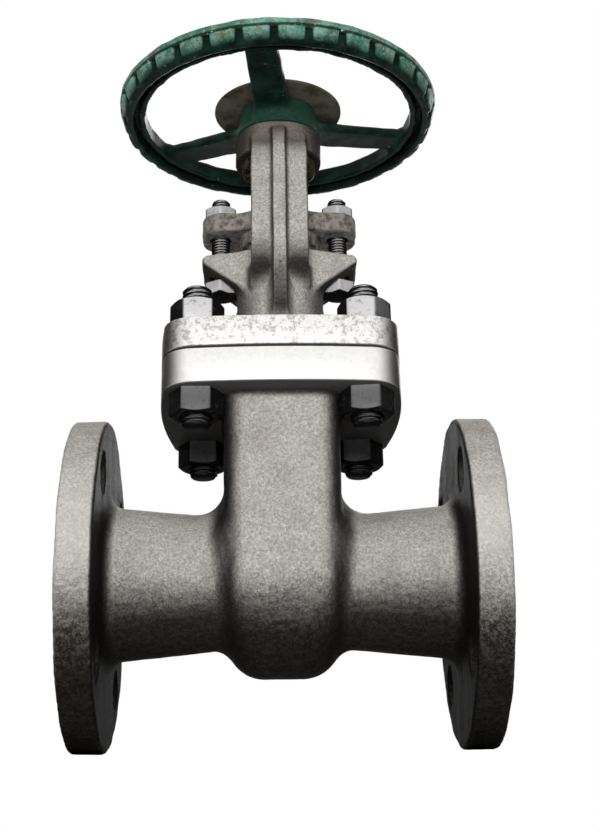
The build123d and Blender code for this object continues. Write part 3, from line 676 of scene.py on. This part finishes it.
class Finish:
    """A node material with short ways to noise, masks and mixes."""

    def __init__(self, name):
        self.material = bpy.data.materials.new(name)
        self.material.use_nodes = True
        self.nodes = self.material.node_tree.nodes
        self.links = self.material.node_tree.links
        self.bsdf = self.nodes["Principled BSDF"]
        coordinates = self.nodes.new("ShaderNodeTexCoord")
        scale = self.nodes.new("ShaderNodeVectorMath")
        scale.operation = "SCALE"
        scale.inputs["Scale"].default_value = 1 / MM
        self.links.new(coordinates.outputs["Object"], scale.inputs[0])
        self.place = scale.outputs[0]
        split = self.nodes.new("ShaderNodeSeparateXYZ")
        self.links.new(self.place, split.inputs[0])
        self.x, self.y, self.z = split.outputs

    def put(self, value, socket):
        """Link a socket, or set a constant."""
        if isinstance(value, bpy.types.NodeSocket):
            self.links.new(value, socket)
        elif isinstance(value, tuple) and len(socket.default_value) == 4:
            socket.default_value = (*value, 1.0)
        else:
            socket.default_value = value

    def math(self, operation, a, b=0.0):
        """One math node."""
        node = self.nodes.new("ShaderNodeMath")
        node.operation = operation
        self.put(a, node.inputs[0])
        self.put(b, node.inputs[1])
        return node.outputs[0]

    def times(self, a, b):
        """Product of two values."""
        return self.math("MULTIPLY", a, b)

    def plus(self, a, b):
        """Sum of two values."""
        return self.math("ADD", a, b)

    def minus(self, a, b):
        """The first value less the second."""
        return self.math("SUBTRACT", a, b)

    def absolute(self, a):
        """Value without its sign."""
        return self.math("ABSOLUTE", a)

    def noise(self, size, detail=3.0, roughness=0.5, shift=(0.0, 0.0, 0.0), stretch=(1.0, 1.0, 1.0)):
        """Noise whose features are about size millimetres across."""
        mapping = self.nodes.new("ShaderNodeMapping")
        mapping.inputs["Location"].default_value = shift
        mapping.inputs["Scale"].default_value = stretch
        self.links.new(self.place, mapping.inputs["Vector"])
        node = self.nodes.new("ShaderNodeTexNoise")
        node.inputs["Scale"].default_value = 1 / size
        node.inputs["Detail"].default_value = detail
        node.inputs["Roughness"].default_value = roughness
        self.links.new(mapping.outputs[0], node.inputs["Vector"])
        return node.outputs["Fac"]

    def spots(self, size):
        """Distance to scattered points about size millimetres apart."""
        node = self.nodes.new("ShaderNodeTexVoronoi")
        node.inputs["Scale"].default_value = 1 / size
        self.links.new(self.place, node.inputs["Vector"])
        return node.outputs["Distance"]

    def step(self, value, low, high):
        """0 below low, 1 above high, smooth between; low may be above high."""
        node = self.nodes.new("ShaderNodeMapRange")
        node.interpolation_type = "SMOOTHSTEP"
        self.put(value, node.inputs["Value"])
        self.put(low, node.inputs["From Min"])
        self.put(high, node.inputs["From Max"])
        return node.outputs["Result"]

    def mix(self, share, a, b):
        """Colour a where share is 0, colour b where it is 1."""
        node = self.nodes.new("ShaderNodeMix")
        node.data_type = "RGBA"
        self.put(share, node.inputs[0])
        self.put(a, node.inputs[6])
        self.put(b, node.inputs[7])
        return node.outputs[2]

    def edges(self, low, high):
        """1 on outward edges, 0 in corners and on flats."""
        geometry = self.nodes.new("ShaderNodeNewGeometry")
        return self.step(geometry.outputs["Pointiness"], low, high)

    def bump(self, height, depth, strength=1.0):
        """Bump from a height field, depth in millimetres."""
        node = self.nodes.new("ShaderNodeBump")
        node.inputs["Strength"].default_value = strength
        node.inputs["Distance"].default_value = depth * MM
        self.put(height, node.inputs["Height"])
        return node.outputs[0]

    def finish(self, colour, roughness, metallic=0.0, normal=None, shine=0.003, edge=0.02):
        """Set the surface values and return the material; edge tints the shine at a grazing angle."""
        self.put(shine, self.bsdf.inputs["Specular IOR Level"])
        self.put((edge, edge, edge), self.bsdf.inputs["Specular Tint"])
        self.put(colour, self.bsdf.inputs["Base Color"])
        self.put(roughness, self.bsdf.inputs["Roughness"])
        self.put(metallic, self.bsdf.inputs["Metallic"])
        if normal is not None:
            self.links.new(normal, self.bsdf.inputs["Normal"])
        return self.material


def facing(f):
    """Object-space normal of the plain surface as its three parts."""
    coordinates = f.nodes.new("ShaderNodeTexCoord")
    split = f.nodes.new("ShaderNodeSeparateXYZ")
    f.links.new(coordinates.outputs["Normal"], split.inputs[0])
    return split.outputs


def cast_steel(name, warm=0.0, shade_and_grime_top=0.0, shade_and_grime_bottom=-36.0, flange_back=0.0):
    """Pickled stainless casting: fine sandy grain and painted glints, with pits, dirt and painted shade
    that grow towards the bottom, painted shade on faces turned down or along the pipe, and a painted
    highlight and painted shade on the end flanges.
    """
    f = Finish(name)
    patch = f.noise(11.0, 4.0, 0.6)
    grain = f.noise(1.0, 5.0, 0.7, (3.0, 7.0, 1.0))
    sand = f.noise(0.55, 3.0, 0.65, (9.0, 2.0, 5.0))
    # Lower part: more scars and pits, and a darkening that is partly dirt and partly painted shade
    low = f.step(f.z, shade_and_grime_top, shade_and_grime_bottom)
    blotch = f.noise(2.6, 6.0, 0.72, (1.0, 4.0, 2.0))
    # Painted glints: bright specks stand in for light sparkling off the grain
    painted_glint = f.step(f.noise(0.7, 2.0, 0.5, (4.0, 4.0, 9.0)), 0.56, 0.72)
    tone = f.mix(f.step(grain, 0.34, 0.66), (0.36, 0.345, 0.327), (0.62, 0.6, 0.57))
    tone = f.mix(f.times(painted_glint, 0.6), tone, (0.86, 0.84, 0.81))
    tone = f.mix(f.times(f.step(patch, 0.48, 0.64), 0.22), tone, (0.23, 0.205, 0.18))
    # Darker towards the bottom: partly dirt, partly painted shade
    tone = f.mix(f.times(low, 0.6), tone, (0.09, 0.08, 0.066))
    scars = f.times(f.plus(0.04, f.times(low, 0.96)), f.step(blotch, 0.44, 0.58))
    tone = f.mix(f.times(scars, 0.8), tone, (0.06, 0.053, 0.043))
    pits = f.step(f.plus(f.spots(2.2), f.times(blotch, 0.7)), 0.56, 0.42)
    veins = f.absolute(f.minus(f.noise(2.6, 3.0, 0.55, (6.0, 6.0, 1.0)), 0.5))
    pits = f.math("MAXIMUM", pits, f.step(veins, 0.028, 0.008))
    middle_zone = f.times(f.step(f.z, 6.0, -16.0), 0.5)
    pits = f.times(pits, f.math("MAXIMUM", f.plus(0.05, middle_zone), low))
    tone = f.mix(f.times(pits, 0.85), tone, (0.016, 0.014, 0.012))
    if warm:
        tone = f.mix(f.times(f.step(f.z, 172.0, 190.0), warm), tone, (0.125, 0.1, 0.086))
    normal = facing(f)
    # Painted shade: faces turned downwards are darkened nearly to black
    under = f.step(normal[2], -0.05, -0.72)
    tone = f.mix(f.times(under, 0.93), tone, (0.014, 0.012, 0.01))
    across = f.absolute(f.minus(f.x, STEM_X))
    # Painted shade: faces turned along the pipe axis are darkened, except near the flanges' end faces
    sideways_shade = f.step(f.absolute(normal[0]), 0.3, 0.95)
    sideways_shade = f.times(sideways_shade, f.step(across, FACE_X - 2.5, FACE_X - 4.0))
    tone = f.mix(f.times(sideways_shade, 0.8), tone, (0.02, 0.018, 0.016))
    if flange_back:
        # Painted highlight: a band round mid-height of the flange rims is lightened
        rim = f.times(f.step(across, flange_back, flange_back + 0.6), f.step(sideways_shade, 0.3, 0.0))
        rim = f.times(rim, f.times(f.step(f.z, -30.0, -6.0), f.step(f.z, 42.0, 8.0)))
        tone = f.mix(f.times(rim, 0.35), tone, (0.85, 0.83, 0.8))
        # Painted shade inside the flange bolt holes
        aside = f.math("POWER", f.minus(f.absolute(f.y), FLANGE_HOLE_OFFSET), 2.0)
        above = f.math("POWER", f.minus(f.absolute(f.z), FLANGE_HOLE_OFFSET), 2.0)
        hole = f.times(f.step(f.math("SQRT", f.plus(aside, above)), 9.0, 8.4), f.step(across, 60.0, 62.0))
        tone = f.mix(f.times(hole, 0.9), tone, (0.02, 0.018, 0.016))
        # Painted shade: the flanges' back faces, towards the chamber, darkened nearly to black
        inner = f.step(across, flange_back + 1.5, flange_back + 0.5)
        tone = f.mix(f.times(f.times(sideways_shade, inner), 0.9), tone, (0.006, 0.0055, 0.005))
    rough = f.plus(0.34, f.times(grain, 0.2))
    height = f.plus(grain, f.times(sand, 0.6))
    height = f.plus(height, f.noise(2.2, 4.0, 0.6, (2.0, 2.0, 5.0)))
    height = f.minus(height, f.times(pits, 0.6))
    return f.finish(tone, rough, 0.06, f.bump(height, 0.8, 1.0))


def machined_steel(name, bright=(0.77, 0.765, 0.76), spotted=0.75):
    """Machined or ground stainless faces: bright, softly brushed, with dark specks, and painted shade on
    their sides and undersides.
    """
    f = Finish(name)
    brushed = f.noise(0.9, 3.0, 0.6, stretch=(0.12, 0.12, 3.0))
    patch = f.noise(2.2, 6.0, 0.75)
    specks = f.step(f.plus(f.spots(0.9), f.times(patch, 0.6)), 0.46, 0.3)
    upper = f.step(f.z, JOINT_TOP - 0.5, JOINT_TOP + 1.0)
    worn = f.times(f.step(patch, 0.47, 0.6), f.plus(0.12, f.times(upper, 0.7)))
    tone = f.mix(worn, bright, (0.34, 0.325, 0.31))
    tone = f.mix(f.times(f.times(specks, spotted), f.plus(0.2, upper)), tone, (0.04, 0.036, 0.032))
    # Painted shade: sides along the pipe axis and undersides are darkened nearly to black
    normal = facing(f)
    side = f.step(f.absolute(normal[0]), 0.25, 0.85)
    under = f.step(normal[2], -0.2, -0.8)
    side_and_underside_shade = f.math("MAXIMUM", side, under)
    tone = f.mix(f.times(side_and_underside_shade, 0.92), tone, (0.018, 0.016, 0.014))
    rough = f.plus(0.26, f.times(patch, 0.2))
    height = f.minus(f.times(brushed, 0.3), f.times(specks, 0.5))
    return f.finish(tone, rough, 0.08, f.bump(height, 0.12, 0.6))


def bolting_steel(name):
    """Stainless studs and nuts: smooth, with bright edges and dark patches of dirt; faces towards the front
    and back get a lit tone and the rest is near black, as painted light and shade, and the lit tone is
    darker below the joint as painted shade.
    """
    f = Finish(name)
    patch = f.noise(2.2, 5.0, 0.7)
    normal = facing(f)
    # Painted light and shade: faces towards the front and back get the lit tone, all other faces near black
    front = f.step(f.absolute(normal[1]), 0.55, 0.98)
    # Painted shade: the lit tone is darker on the nuts below the joint flange
    upper = f.step(f.z, JOINT_TOP - 20.0, JOINT_TOP + 5.0)
    face = f.mix(upper, (0.12, 0.118, 0.123), (0.56, 0.555, 0.57))
    tone = f.mix(front, (0.007, 0.007, 0.0075), face)
    tone = f.mix(f.times(f.step(patch, 0.52, 0.7), 0.6), tone, (0.05, 0.045, 0.04))
    tone = f.mix(f.times(f.edges(0.56, 0.7), 0.6), tone, (0.62, 0.615, 0.61))
    rough = f.plus(0.22, f.times(patch, 0.25))
    return f.finish(tone, rough, 0.03, f.bump(f.noise(1.3, 3.0, 0.6), 0.08, 0.5))


def wheel_paint(name):
    """Old teal-green paint: a painted highlight on the pads' outer faces and painted shade elsewhere, chips
    to bright metal on the pads, brown scars, painted shade in the rim's channel and in the crease under the
    lip.
    """
    f = Finish(name)
    broad = f.noise(7.0, 4.0, 0.6)
    small = f.noise(1.8, 5.0, 0.7, (5.0, 1.0, 3.0))
    across = f.math("POWER", f.minus(f.x, STEM_X), 2.0)
    radial = f.math("SQRT", f.plus(across, f.math("POWER", f.y, 2.0)))
    pads = f.step(radial, WALL_R + 0.8, WHEEL_R - 0.4)
    edges = f.edges(0.53, 0.62)
    # Painted light and shade: a dark shaded copy of the paint, a little lighter towards the hub, and a
    # bright lit copy on the pads' outer faces
    dark = f.mix(f.step(broad, 0.35, 0.68), (0.003, 0.0085, 0.0065), (0.008, 0.026, 0.019))
    dark = f.mix(f.times(f.step(radial, 24.0, 18.0), 0.6), dark, (0.022, 0.065, 0.045))
    bright = f.mix(f.step(broad, 0.38, 0.62), (0.045, 0.175, 0.13), (0.16, 0.36, 0.285))
    paint = f.mix(pads, dark, bright)
    # Painted shade: a dark line in the crease between the pads and the lip
    crease_shade = f.absolute(f.minus(f.z, PAD_TOP + 0.3))
    crease_shade = f.step(f.plus(crease_shade, f.times(small, 0.8)), 1.3, 0.7)
    paint = f.mix(f.times(f.step(small, 0.5, 0.66), 0.65), paint, (0.006, 0.016, 0.013))
    worn = f.times(f.step(f.noise(2.4, 5.0, 0.7, (7.0, 3.0, 6.0)), 0.53, 0.6), pads)
    paint = f.mix(f.times(worn, 0.5), paint, (0.34, 0.38, 0.35))
    rust = f.times(f.times(f.step(f.noise(5.0, 4.0, 0.6, (2.0, 8.0, 4.0)), 0.54, 0.64), pads), 0.7)
    paint = f.mix(rust, paint, (0.13, 0.085, 0.055))
    wear = f.plus(f.times(pads, 0.05), f.times(edges, 0.13))
    paint = f.mix(f.times(crease_shade, 0.9), paint, (0.012, 0.011, 0.008))
    chips = f.step(f.plus(small, wear), 0.66, 0.71)
    metal = f.mix(f.step(f.noise(1.3, 4.0, 0.65), 0.46, 0.6), (0.16, 0.13, 0.11), (0.66, 0.65, 0.64))
    tone = f.mix(chips, paint, metal)
    # Painted shade inside the hollow channel under the rim
    under = f.step(f.z, CHANNEL_TOP - 1.0, PAD_BOTTOM + 1.0)
    inner = f.step(radial, WALL_R - OUTER_WALL + 0.4, WALL_R - OUTER_WALL - 0.4)
    in_rim = f.step(radial, RIM_INNER_R + 0.5, RIM_INNER_R + 2.0)
    channel_shade = f.times(f.times(under, inner), in_rim)
    tone = f.mix(f.times(channel_shade, 0.85), tone, (0.003, 0.005, 0.004))
    rough = f.plus(0.28, f.times(small, 0.3))
    metallic = f.times(chips, 0.7)
    height = f.minus(f.times(broad, 0.5), f.times(chips, 0.5))
    return f.finish(tone, rough, metallic, f.bump(height, 0.3, 0.7), 0.12, 0.1)


def plain(name, colour, dark, size, roughness, metallic, bump_depth=0.06):
    """A simple worn finish: two tones in patches."""
    f = Finish(name)
    patch = f.noise(size, 5.0, 0.65)
    tone = f.mix(f.step(patch, 0.4, 0.66), colour, dark)
    return f.finish(tone, roughness, metallic, f.bump(patch, bump_depth, 0.5))


CAST_BODY = cast_steel("cast_steel_body", flange_back=FACE_X - FLANGE_THICK)
CAST_BONNET = cast_steel("cast_steel_bonnet", warm=0.8, shade_and_grime_top=0.0, shade_and_grime_bottom=-60.0)
GROUND = machined_steel("ground_flange_edge")
BOLTING = bolting_steel("bolting_steel")
GLAND_CAST = plain("gland_casting", (0.25, 0.235, 0.22), (0.09, 0.076, 0.062), 3.0, 0.42, 0.04, 0.15)
PAINT = wheel_paint("wheel_paint")
DISC = plain("disc_plate", (0.115, 0.105, 0.085), (0.055, 0.05, 0.038), 9.0, 0.4, 0.03, 0.1)
STEM_STEEL = plain("stem_steel", (0.2, 0.19, 0.18), (0.04, 0.036, 0.03), 2.5, 0.32, 0.2)
# Dark bronze for the yoke sleeve, darkened further as painted shade under the yoke hub
BRONZE = plain("sleeve_bronze", (0.07, 0.054, 0.034), (0.015, 0.012, 0.008), 3.0, 0.38, 0.15)
SEAT_STEEL = plain("seat_steel", (0.5, 0.49, 0.48), (0.3, 0.29, 0.28), 3.0, 0.28, 0.7, 0.03)
GASKET = plain("gasket_dark", (0.02, 0.02, 0.022), (0.008, 0.008, 0.008), 1.5, 0.8, 0.0)
PACKING = plain("packing_dark", (0.02, 0.02, 0.021), (0.01, 0.01, 0.01), 1.0, 0.7, 0.0, 0.2)


def dress(thing, material, slot, body, *nodes):
    """Give a piece its material, let it ride on its body and stand for CAD nodes; the slot argument is not
    used.
    """
    thing.data.materials.clear()
    thing.data.materials.append(material)
    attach(thing, body)
    if nodes:
        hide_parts(*nodes)


# Castings
body = cast_object(
    "body_casting",
    body_field,
    (-FACE_X, -FLANGE_R, -FLANGE_R),
    (FACE_X, FLANGE_R, JOINT_TOP),
    1.15,
    0.5,
    0.16,
    1.0,
)
dress(body, CAST_BODY, "cast_steel", "valve", "valve_body", "inlet_flange", "outlet_flange")
bonnet = cast_object(
    "bonnet_casting",
    bonnet_field,
    (-JOINT_SIDE, -JOINT_SIDE, BONNET_LOW[2]),
    (JOINT_SIDE, JOINT_SIDE, BONNET_HIGH[2]),
    0.78,
    0.6,
    0.1,
    2.0,
)
dress(bonnet, CAST_BONNET, "cast_steel", "valve", "bonnet_yoke")
cavity = rectangle_reach(CHAMBER_HALF_X - CHAMBER_WALL + 1, CHAMBER_HALF_Y - CHAMBER_WALL + 1)
joint_bottom = JOINT_TOP - JOINT_THICK
inner_loops = [(JOINT_TOP, cavity), (joint_bottom, cavity)]
flange = joint_flange("body_joint_flange", joint_bottom, JOINT_TOP, inner_loops)
dress(flange, GROUND, "cast_steel", "valve")
step_z = BONNET_LOW[2] + BONNET_STEP_H
flange = joint_flange(
    "bonnet_joint_flange",
    BONNET_LOW[2],
    BONNET_FLANGE_TOP,
    [
        (BONNET_FLANGE_TOP, circle_reach(BONNET_CORE_HIGH_R)),
        (step_z, circle_reach(BONNET_CORE_HIGH_R)),
        (step_z, circle_reach(BONNET_CORE_LOW_R)),
        (BONNET_LOW[2], circle_reach(BONNET_CORE_LOW_R)),
    ],
)
dress(flange, GROUND, "cast_steel", "valve")
wheel = cast_object(
    "handwheel_casting",
    wheel_field,
    tuple(WHEEL_LOW),
    tuple(WHEEL_HIGH),
    0.66,
    0.7,
    0.08,
    3.0,
)
dress(wheel, PAINT, "wheel_paint", "wheel", "handwheel")
gland_flange = cast_object(
    "gland_flange_casting", gland_flange_field, tuple(GLAND_LOW), tuple(GLAND_HIGH), 0.6, 0.7, 0.06, 4.0
)
dress(gland_flange, GLAND_CAST, "gland_cast", "valve", "gland_flange")

# Turned pieces
low, high = span("gland")
gland = turned(
    "gland_sleeve",
    [
        (STEM_R + 0.1, low[2]),
        (GLAND_R - 0.3, low[2]),
        (GLAND_R, low[2] + 0.4),
        (GLAND_R, high[2] - GLAND_COLLAR_H),
        (GLAND_COLLAR_R - 0.5, high[2] - GLAND_COLLAR_H),
        (GLAND_COLLAR_R, high[2] - GLAND_COLLAR_H + 0.5),
        (GLAND_COLLAR_R, high[2]),
        (STEM_R + 0.1, high[2]),
    ],
)
dress(gland, GLAND_CAST, "gland_cast", "valve", "gland")
collar_top = SLEEVE_LOW[2] + SLEEVE_COLLAR_H
sleeve = turned(
    "yoke_sleeve_turned",
    [
        (STEM_R + 0.1, SLEEVE_LOW[2] + 0.6),
        (STEM_R + 0.7, SLEEVE_LOW[2]),
        (SLEEVE_COLLAR_R - 0.6, SLEEVE_LOW[2]),
        (SLEEVE_COLLAR_R, SLEEVE_LOW[2] + 0.6),
        (SLEEVE_COLLAR_R, collar_top),
        (SLEEVE_R, collar_top),
        (SLEEVE_R, WHEEL_HUB_TOP),
        (SLEEVE_THREAD_R, WHEEL_HUB_TOP),
        (SLEEVE_THREAD_R, SLEEVE_HIGH[2] - 0.8),
        (SLEEVE_THREAD_R - 0.8, SLEEVE_HIGH[2]),
        (STEM_R + 0.1, SLEEVE_HIGH[2]),
    ],
)
dress(sleeve, BRONZE, "sleeve_bronze", "wheel", "yoke_sleeve")
disc_r = DISC_HIGH[0]
disc = turned(
    "blank_disc_plate",
    [
        (SLEEVE_THREAD_R + 0.05, DISC_LOW[2]),
        (disc_r - 0.25, DISC_LOW[2]),
        (disc_r, DISC_LOW[2] + 0.25),
        (disc_r, DISC_HIGH[2] - 0.25),
        (disc_r - 0.25, DISC_HIGH[2]),
        (SLEEVE_THREAD_R + 0.05, DISC_HIGH[2]),
    ],
    128,
)
dress(disc, DISC, "disc_plate", "wheel", "blank_disc")

# Nuts, studs and bolts
for i in range(1, 5):
    low, high = span(f"bonnet_stud_{i}")
    place = ((low[0] + high[0]) / 2, (low[1] + high[1]) / 2)
    upper_low, upper_high = span(f"bonnet_nut_upper_{i}")
    lower_low, lower_high = span(f"bonnet_nut_lower_{i}")
    radius = (high[0] - low[0]) / 2
    spans = [(low[2], lower_high[2] - 2), (upper_low[2] + 2, high[2])]
    rows = threaded_rows(radius, STUD_PITCH, STUD_THREAD_DEPTH, low[2], high[2], spans, 40)
    stud = rod_rows(f"stud_{i}", rows, 40, place)
    dress(stud, BOLTING, "bolting", "valve", f"bonnet_stud_{i}")
    upper_turn = UPPER_NUT_TURN_LEFT if place[0] < 0 else UPPER_NUT_TURN_RIGHT
    lower_turn = LOWER_NUT_TURN_LEFT if place[0] < 0 else LOWER_NUT_TURN_RIGHT
    ends = (upper_low[2], upper_high[2])
    nut = hex_piece(f"nut_upper_{i}", JOINT_NUT_FLATS, *ends, place, radius, False, True, upper_turn)
    dress(nut, BOLTING, "bolting", "valve", f"bonnet_nut_upper_{i}")
    ends = (lower_low[2], lower_high[2])
    nut = hex_piece(f"nut_lower_{i}", JOINT_NUT_FLATS, *ends, place, radius, True, False, lower_turn)
    dress(nut, BOLTING, "bolting", "valve", f"bonnet_nut_lower_{i}")
for side_name in ("left", "right"):
    low, high = span(f"gland_nut_{side_name}")
    place = ((low[0] + high[0]) / 2, (low[1] + high[1]) / 2)
    nut_name = f"gland_nut_{side_name}_hex"
    nut = hex_piece(nut_name, GLAND_NUT_FLATS, low[2], high[2], place, GLAND_BOLT_R, False, True)
    dress(nut, BOLTING, "bolting", "valve", f"gland_nut_{side_name}")
    bolt_low, bolt_high = span(f"gland_bolt_{side_name}")
    head_top = bolt_low[2] + GLAND_HEAD_HEIGHT
    spans = [(EAR_SEAT + 12, bolt_high[2])]
    thread = (GLAND_BOLT_R, GLAND_BOLT_PITCH, GLAND_THREAD_DEPTH)
    rows = threaded_rows(*thread, head_top - 0.5, bolt_high[2], spans, 32)
    shank = rod_rows(f"gland_bolt_{side_name}_shank", rows, 32, place)
    head_name = f"gland_bolt_{side_name}_head"
    head = hex_piece(head_name, GLAND_NUT_FLATS, bolt_low[2], head_top, place, 0.0, True, False)
    for piece in (shank, head):
        dress(piece, BOLTING, "bolting", "valve", f"gland_bolt_{side_name}")
low, high = span("wheel_nut")
axis = (0.0, 0.0)
nut = hex_piece("wheel_nut_hex", WHEEL_NUT_FLATS, low[2], high[2], axis, SLEEVE_THREAD_R, False, True)
dress(nut, BOLTING, "bolting", "wheel", "wheel_nut")

# Stem: head and waist in the wedge, plain shank through the packing, trapezoid thread above
low, high = span("stem")
STEM_STEPS = 56
thread = (STEM_R, STEM_PITCH, STEM_THREAD_DEPTH)
spans = [(STEM_THREAD_FROM, high[2])]
shank = threaded_rows(*thread, low[2] + STEM_SHANK_FROM, high[2], spans, STEM_STEPS, 1.5, 12, 0.2)
head_and_waist = [
    (0.0, STEM_HEAD_R - 0.6),
    (0.6, STEM_HEAD_R),
    (STEM_HEAD_HEIGHT, STEM_HEAD_R),
    (STEM_HEAD_HEIGHT + 0.01, STEM_WAIST_R),
    (STEM_SHANK_FROM - 0.01, STEM_WAIST_R),
]
rows = [(low[2] + rise, np.full(STEM_STEPS, radius)) for rise, radius in head_and_waist]
stem = rod_rows("stem_turned", rows + shank, STEM_STEPS)
dress(stem, STEM_STEEL, "stem_steel", "stem", "stem")

# CAD pieces that keep their shapes and get a finish
for node, material in {
    "bonnet_gasket": GASKET,
    "stem_packing": PACKING,
    "seat_ring_inlet": SEAT_STEEL,
    "seat_ring_outlet": SEAT_STEEL,
    "wedge": SEAT_STEEL,
}.items():
    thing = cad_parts[node]
    for place in thing.material_slots:
        place.material = material

# Camera, fitted to the photo
CAMERA_PLACE = Vector(((STEM_X - 4.7) * MM, -572.55 * MM, -132.15 * MM))
CAMERA_PITCH = math.radians(22.82)
CAMERA_YAW = math.radians(1.08)
CAMERA_ROLL = math.radians(-0.85)
PHOTO_WIDTH = 600
PHOTO_HEIGHT = 832
FOCAL_PIXELS = 1482.16
CENTRE_PIXEL = (294.66, 326.37)
forward = Vector(
    (
        math.sin(CAMERA_YAW) * math.cos(CAMERA_PITCH),
        math.cos(CAMERA_YAW) * math.cos(CAMERA_PITCH),
        math.sin(CAMERA_PITCH),
    )
)
right = Vector((math.cos(CAMERA_YAW), -math.sin(CAMERA_YAW), 0.0))
up = right.cross(forward)
tilted_right = right * math.cos(CAMERA_ROLL) + up * math.sin(CAMERA_ROLL)
tilted_up = -right * math.sin(CAMERA_ROLL) + up * math.cos(CAMERA_ROLL)
lens = bpy.data.cameras.new("camera")
lens.sensor_fit = "AUTO"
lens.sensor_width = 36.0
lens.lens = FOCAL_PIXELS * lens.sensor_width / PHOTO_HEIGHT
lens.shift_x = (PHOTO_WIDTH / 2 - CENTRE_PIXEL[0]) / PHOTO_HEIGHT
lens.shift_y = (CENTRE_PIXEL[1] - PHOTO_HEIGHT / 2) / PHOTO_HEIGHT
lens.clip_start = 0.01
camera = bpy.data.objects.new("camera", lens)
turn = Matrix((tilted_right, tilted_up, -forward)).transposed()
camera.matrix_world = Matrix.Translation(CAMERA_PLACE) @ turn.to_4x4()
bpy.context.scene.collection.objects.link(camera)
bpy.context.scene.camera = camera


def area_light(name, place, target, size, power, colour=(1.0, 1.0, 1.0)):
    """Soft rectangular light at a place, aimed at a target, both in metres."""
    light = bpy.data.lights.new(name, "AREA")
    light.shape = "RECTANGLE"
    light.size, light.size_y = size
    light.energy = power
    light.color = colour
    thing = bpy.data.objects.new(name, light)
    thing.location = place
    thing.rotation_euler = (Vector(target) - Vector(place)).to_track_quat("-Z", "Y").to_euler()
    bpy.context.scene.collection.objects.link(thing)


middle = (STEM_X * MM, 0.0, 0.07)
area_light("key", (STEM_X * MM - 0.02, -0.74, 0.08), middle, (0.2, 0.16), 4.4, (1.0, 0.99, 0.975))
area_light("top", (STEM_X * MM - 0.1, -0.2, 0.8), middle, (0.5, 0.4), 1.2)
area_light("back", (STEM_X * MM + 0.2, 0.75, 0.45), middle, (0.6, 0.4), 4.5)

# White surroundings for the camera, mirrors and glass; dim light from them otherwise
WORLD_DIM = 0.07
WORLD_SEEN = 1.0
world = bpy.data.worlds.new("surroundings")
world.use_nodes = True
bpy.context.scene.world = world
nodes = world.node_tree.nodes
links = world.node_tree.links
nodes.clear()
path = nodes.new("ShaderNodeLightPath")
seen = path.outputs["Is Camera Ray"]
for ray in ("Is Glossy Ray", "Is Transmission Ray"):
    either = nodes.new("ShaderNodeMath")
    either.operation = "MAXIMUM"
    links.new(seen, either.inputs[0])
    links.new(path.outputs[ray], either.inputs[1])
    seen = either.outputs[0]
strength = nodes.new("ShaderNodeMapRange")
strength.inputs["To Min"].default_value = WORLD_DIM
strength.inputs["To Max"].default_value = WORLD_SEEN
links.new(seen, strength.inputs["Value"])
background = nodes.new("ShaderNodeBackground")
background.inputs["Color"].default_value = (1.0, 1.0, 1.0, 1.0)
links.new(strength.outputs["Result"], background.inputs["Strength"])
output = nodes.new("ShaderNodeOutputWorld")
links.new(background.outputs[0], output.inputs["Surface"])

# Pale floor under the flanges, seen through from below
bpy.ops.mesh.primitive_plane_add(size=4.0, location=(STEM_X * MM, 0.0, -FLANGE_R * MM))
floor = bpy.context.active_object
floor.name = "floor"
ground = bpy.data.materials.new("floor_pale")
ground.use_nodes = True
nodes = ground.node_tree.nodes
links = ground.node_tree.links
nodes["Principled BSDF"].inputs["Base Color"].default_value = (0.8, 0.8, 0.8, 1.0)
nodes["Principled BSDF"].inputs["Roughness"].default_value = 0.9
clear = nodes.new("ShaderNodeBsdfTransparent")
geometry = nodes.new("ShaderNodeNewGeometry")
choose = nodes.new("ShaderNodeMixShader")
links.new(geometry.outputs["Backfacing"], choose.inputs[0])
links.new(nodes["Principled BSDF"].outputs[0], choose.inputs[1])
links.new(clear.outputs[0], choose.inputs[2])
links.new(choose.outputs[0], nodes["Material Output"].inputs["Surface"])
floor.data.materials.append(ground)

bpy.context.scene.view_settings.view_transform = "Standard"
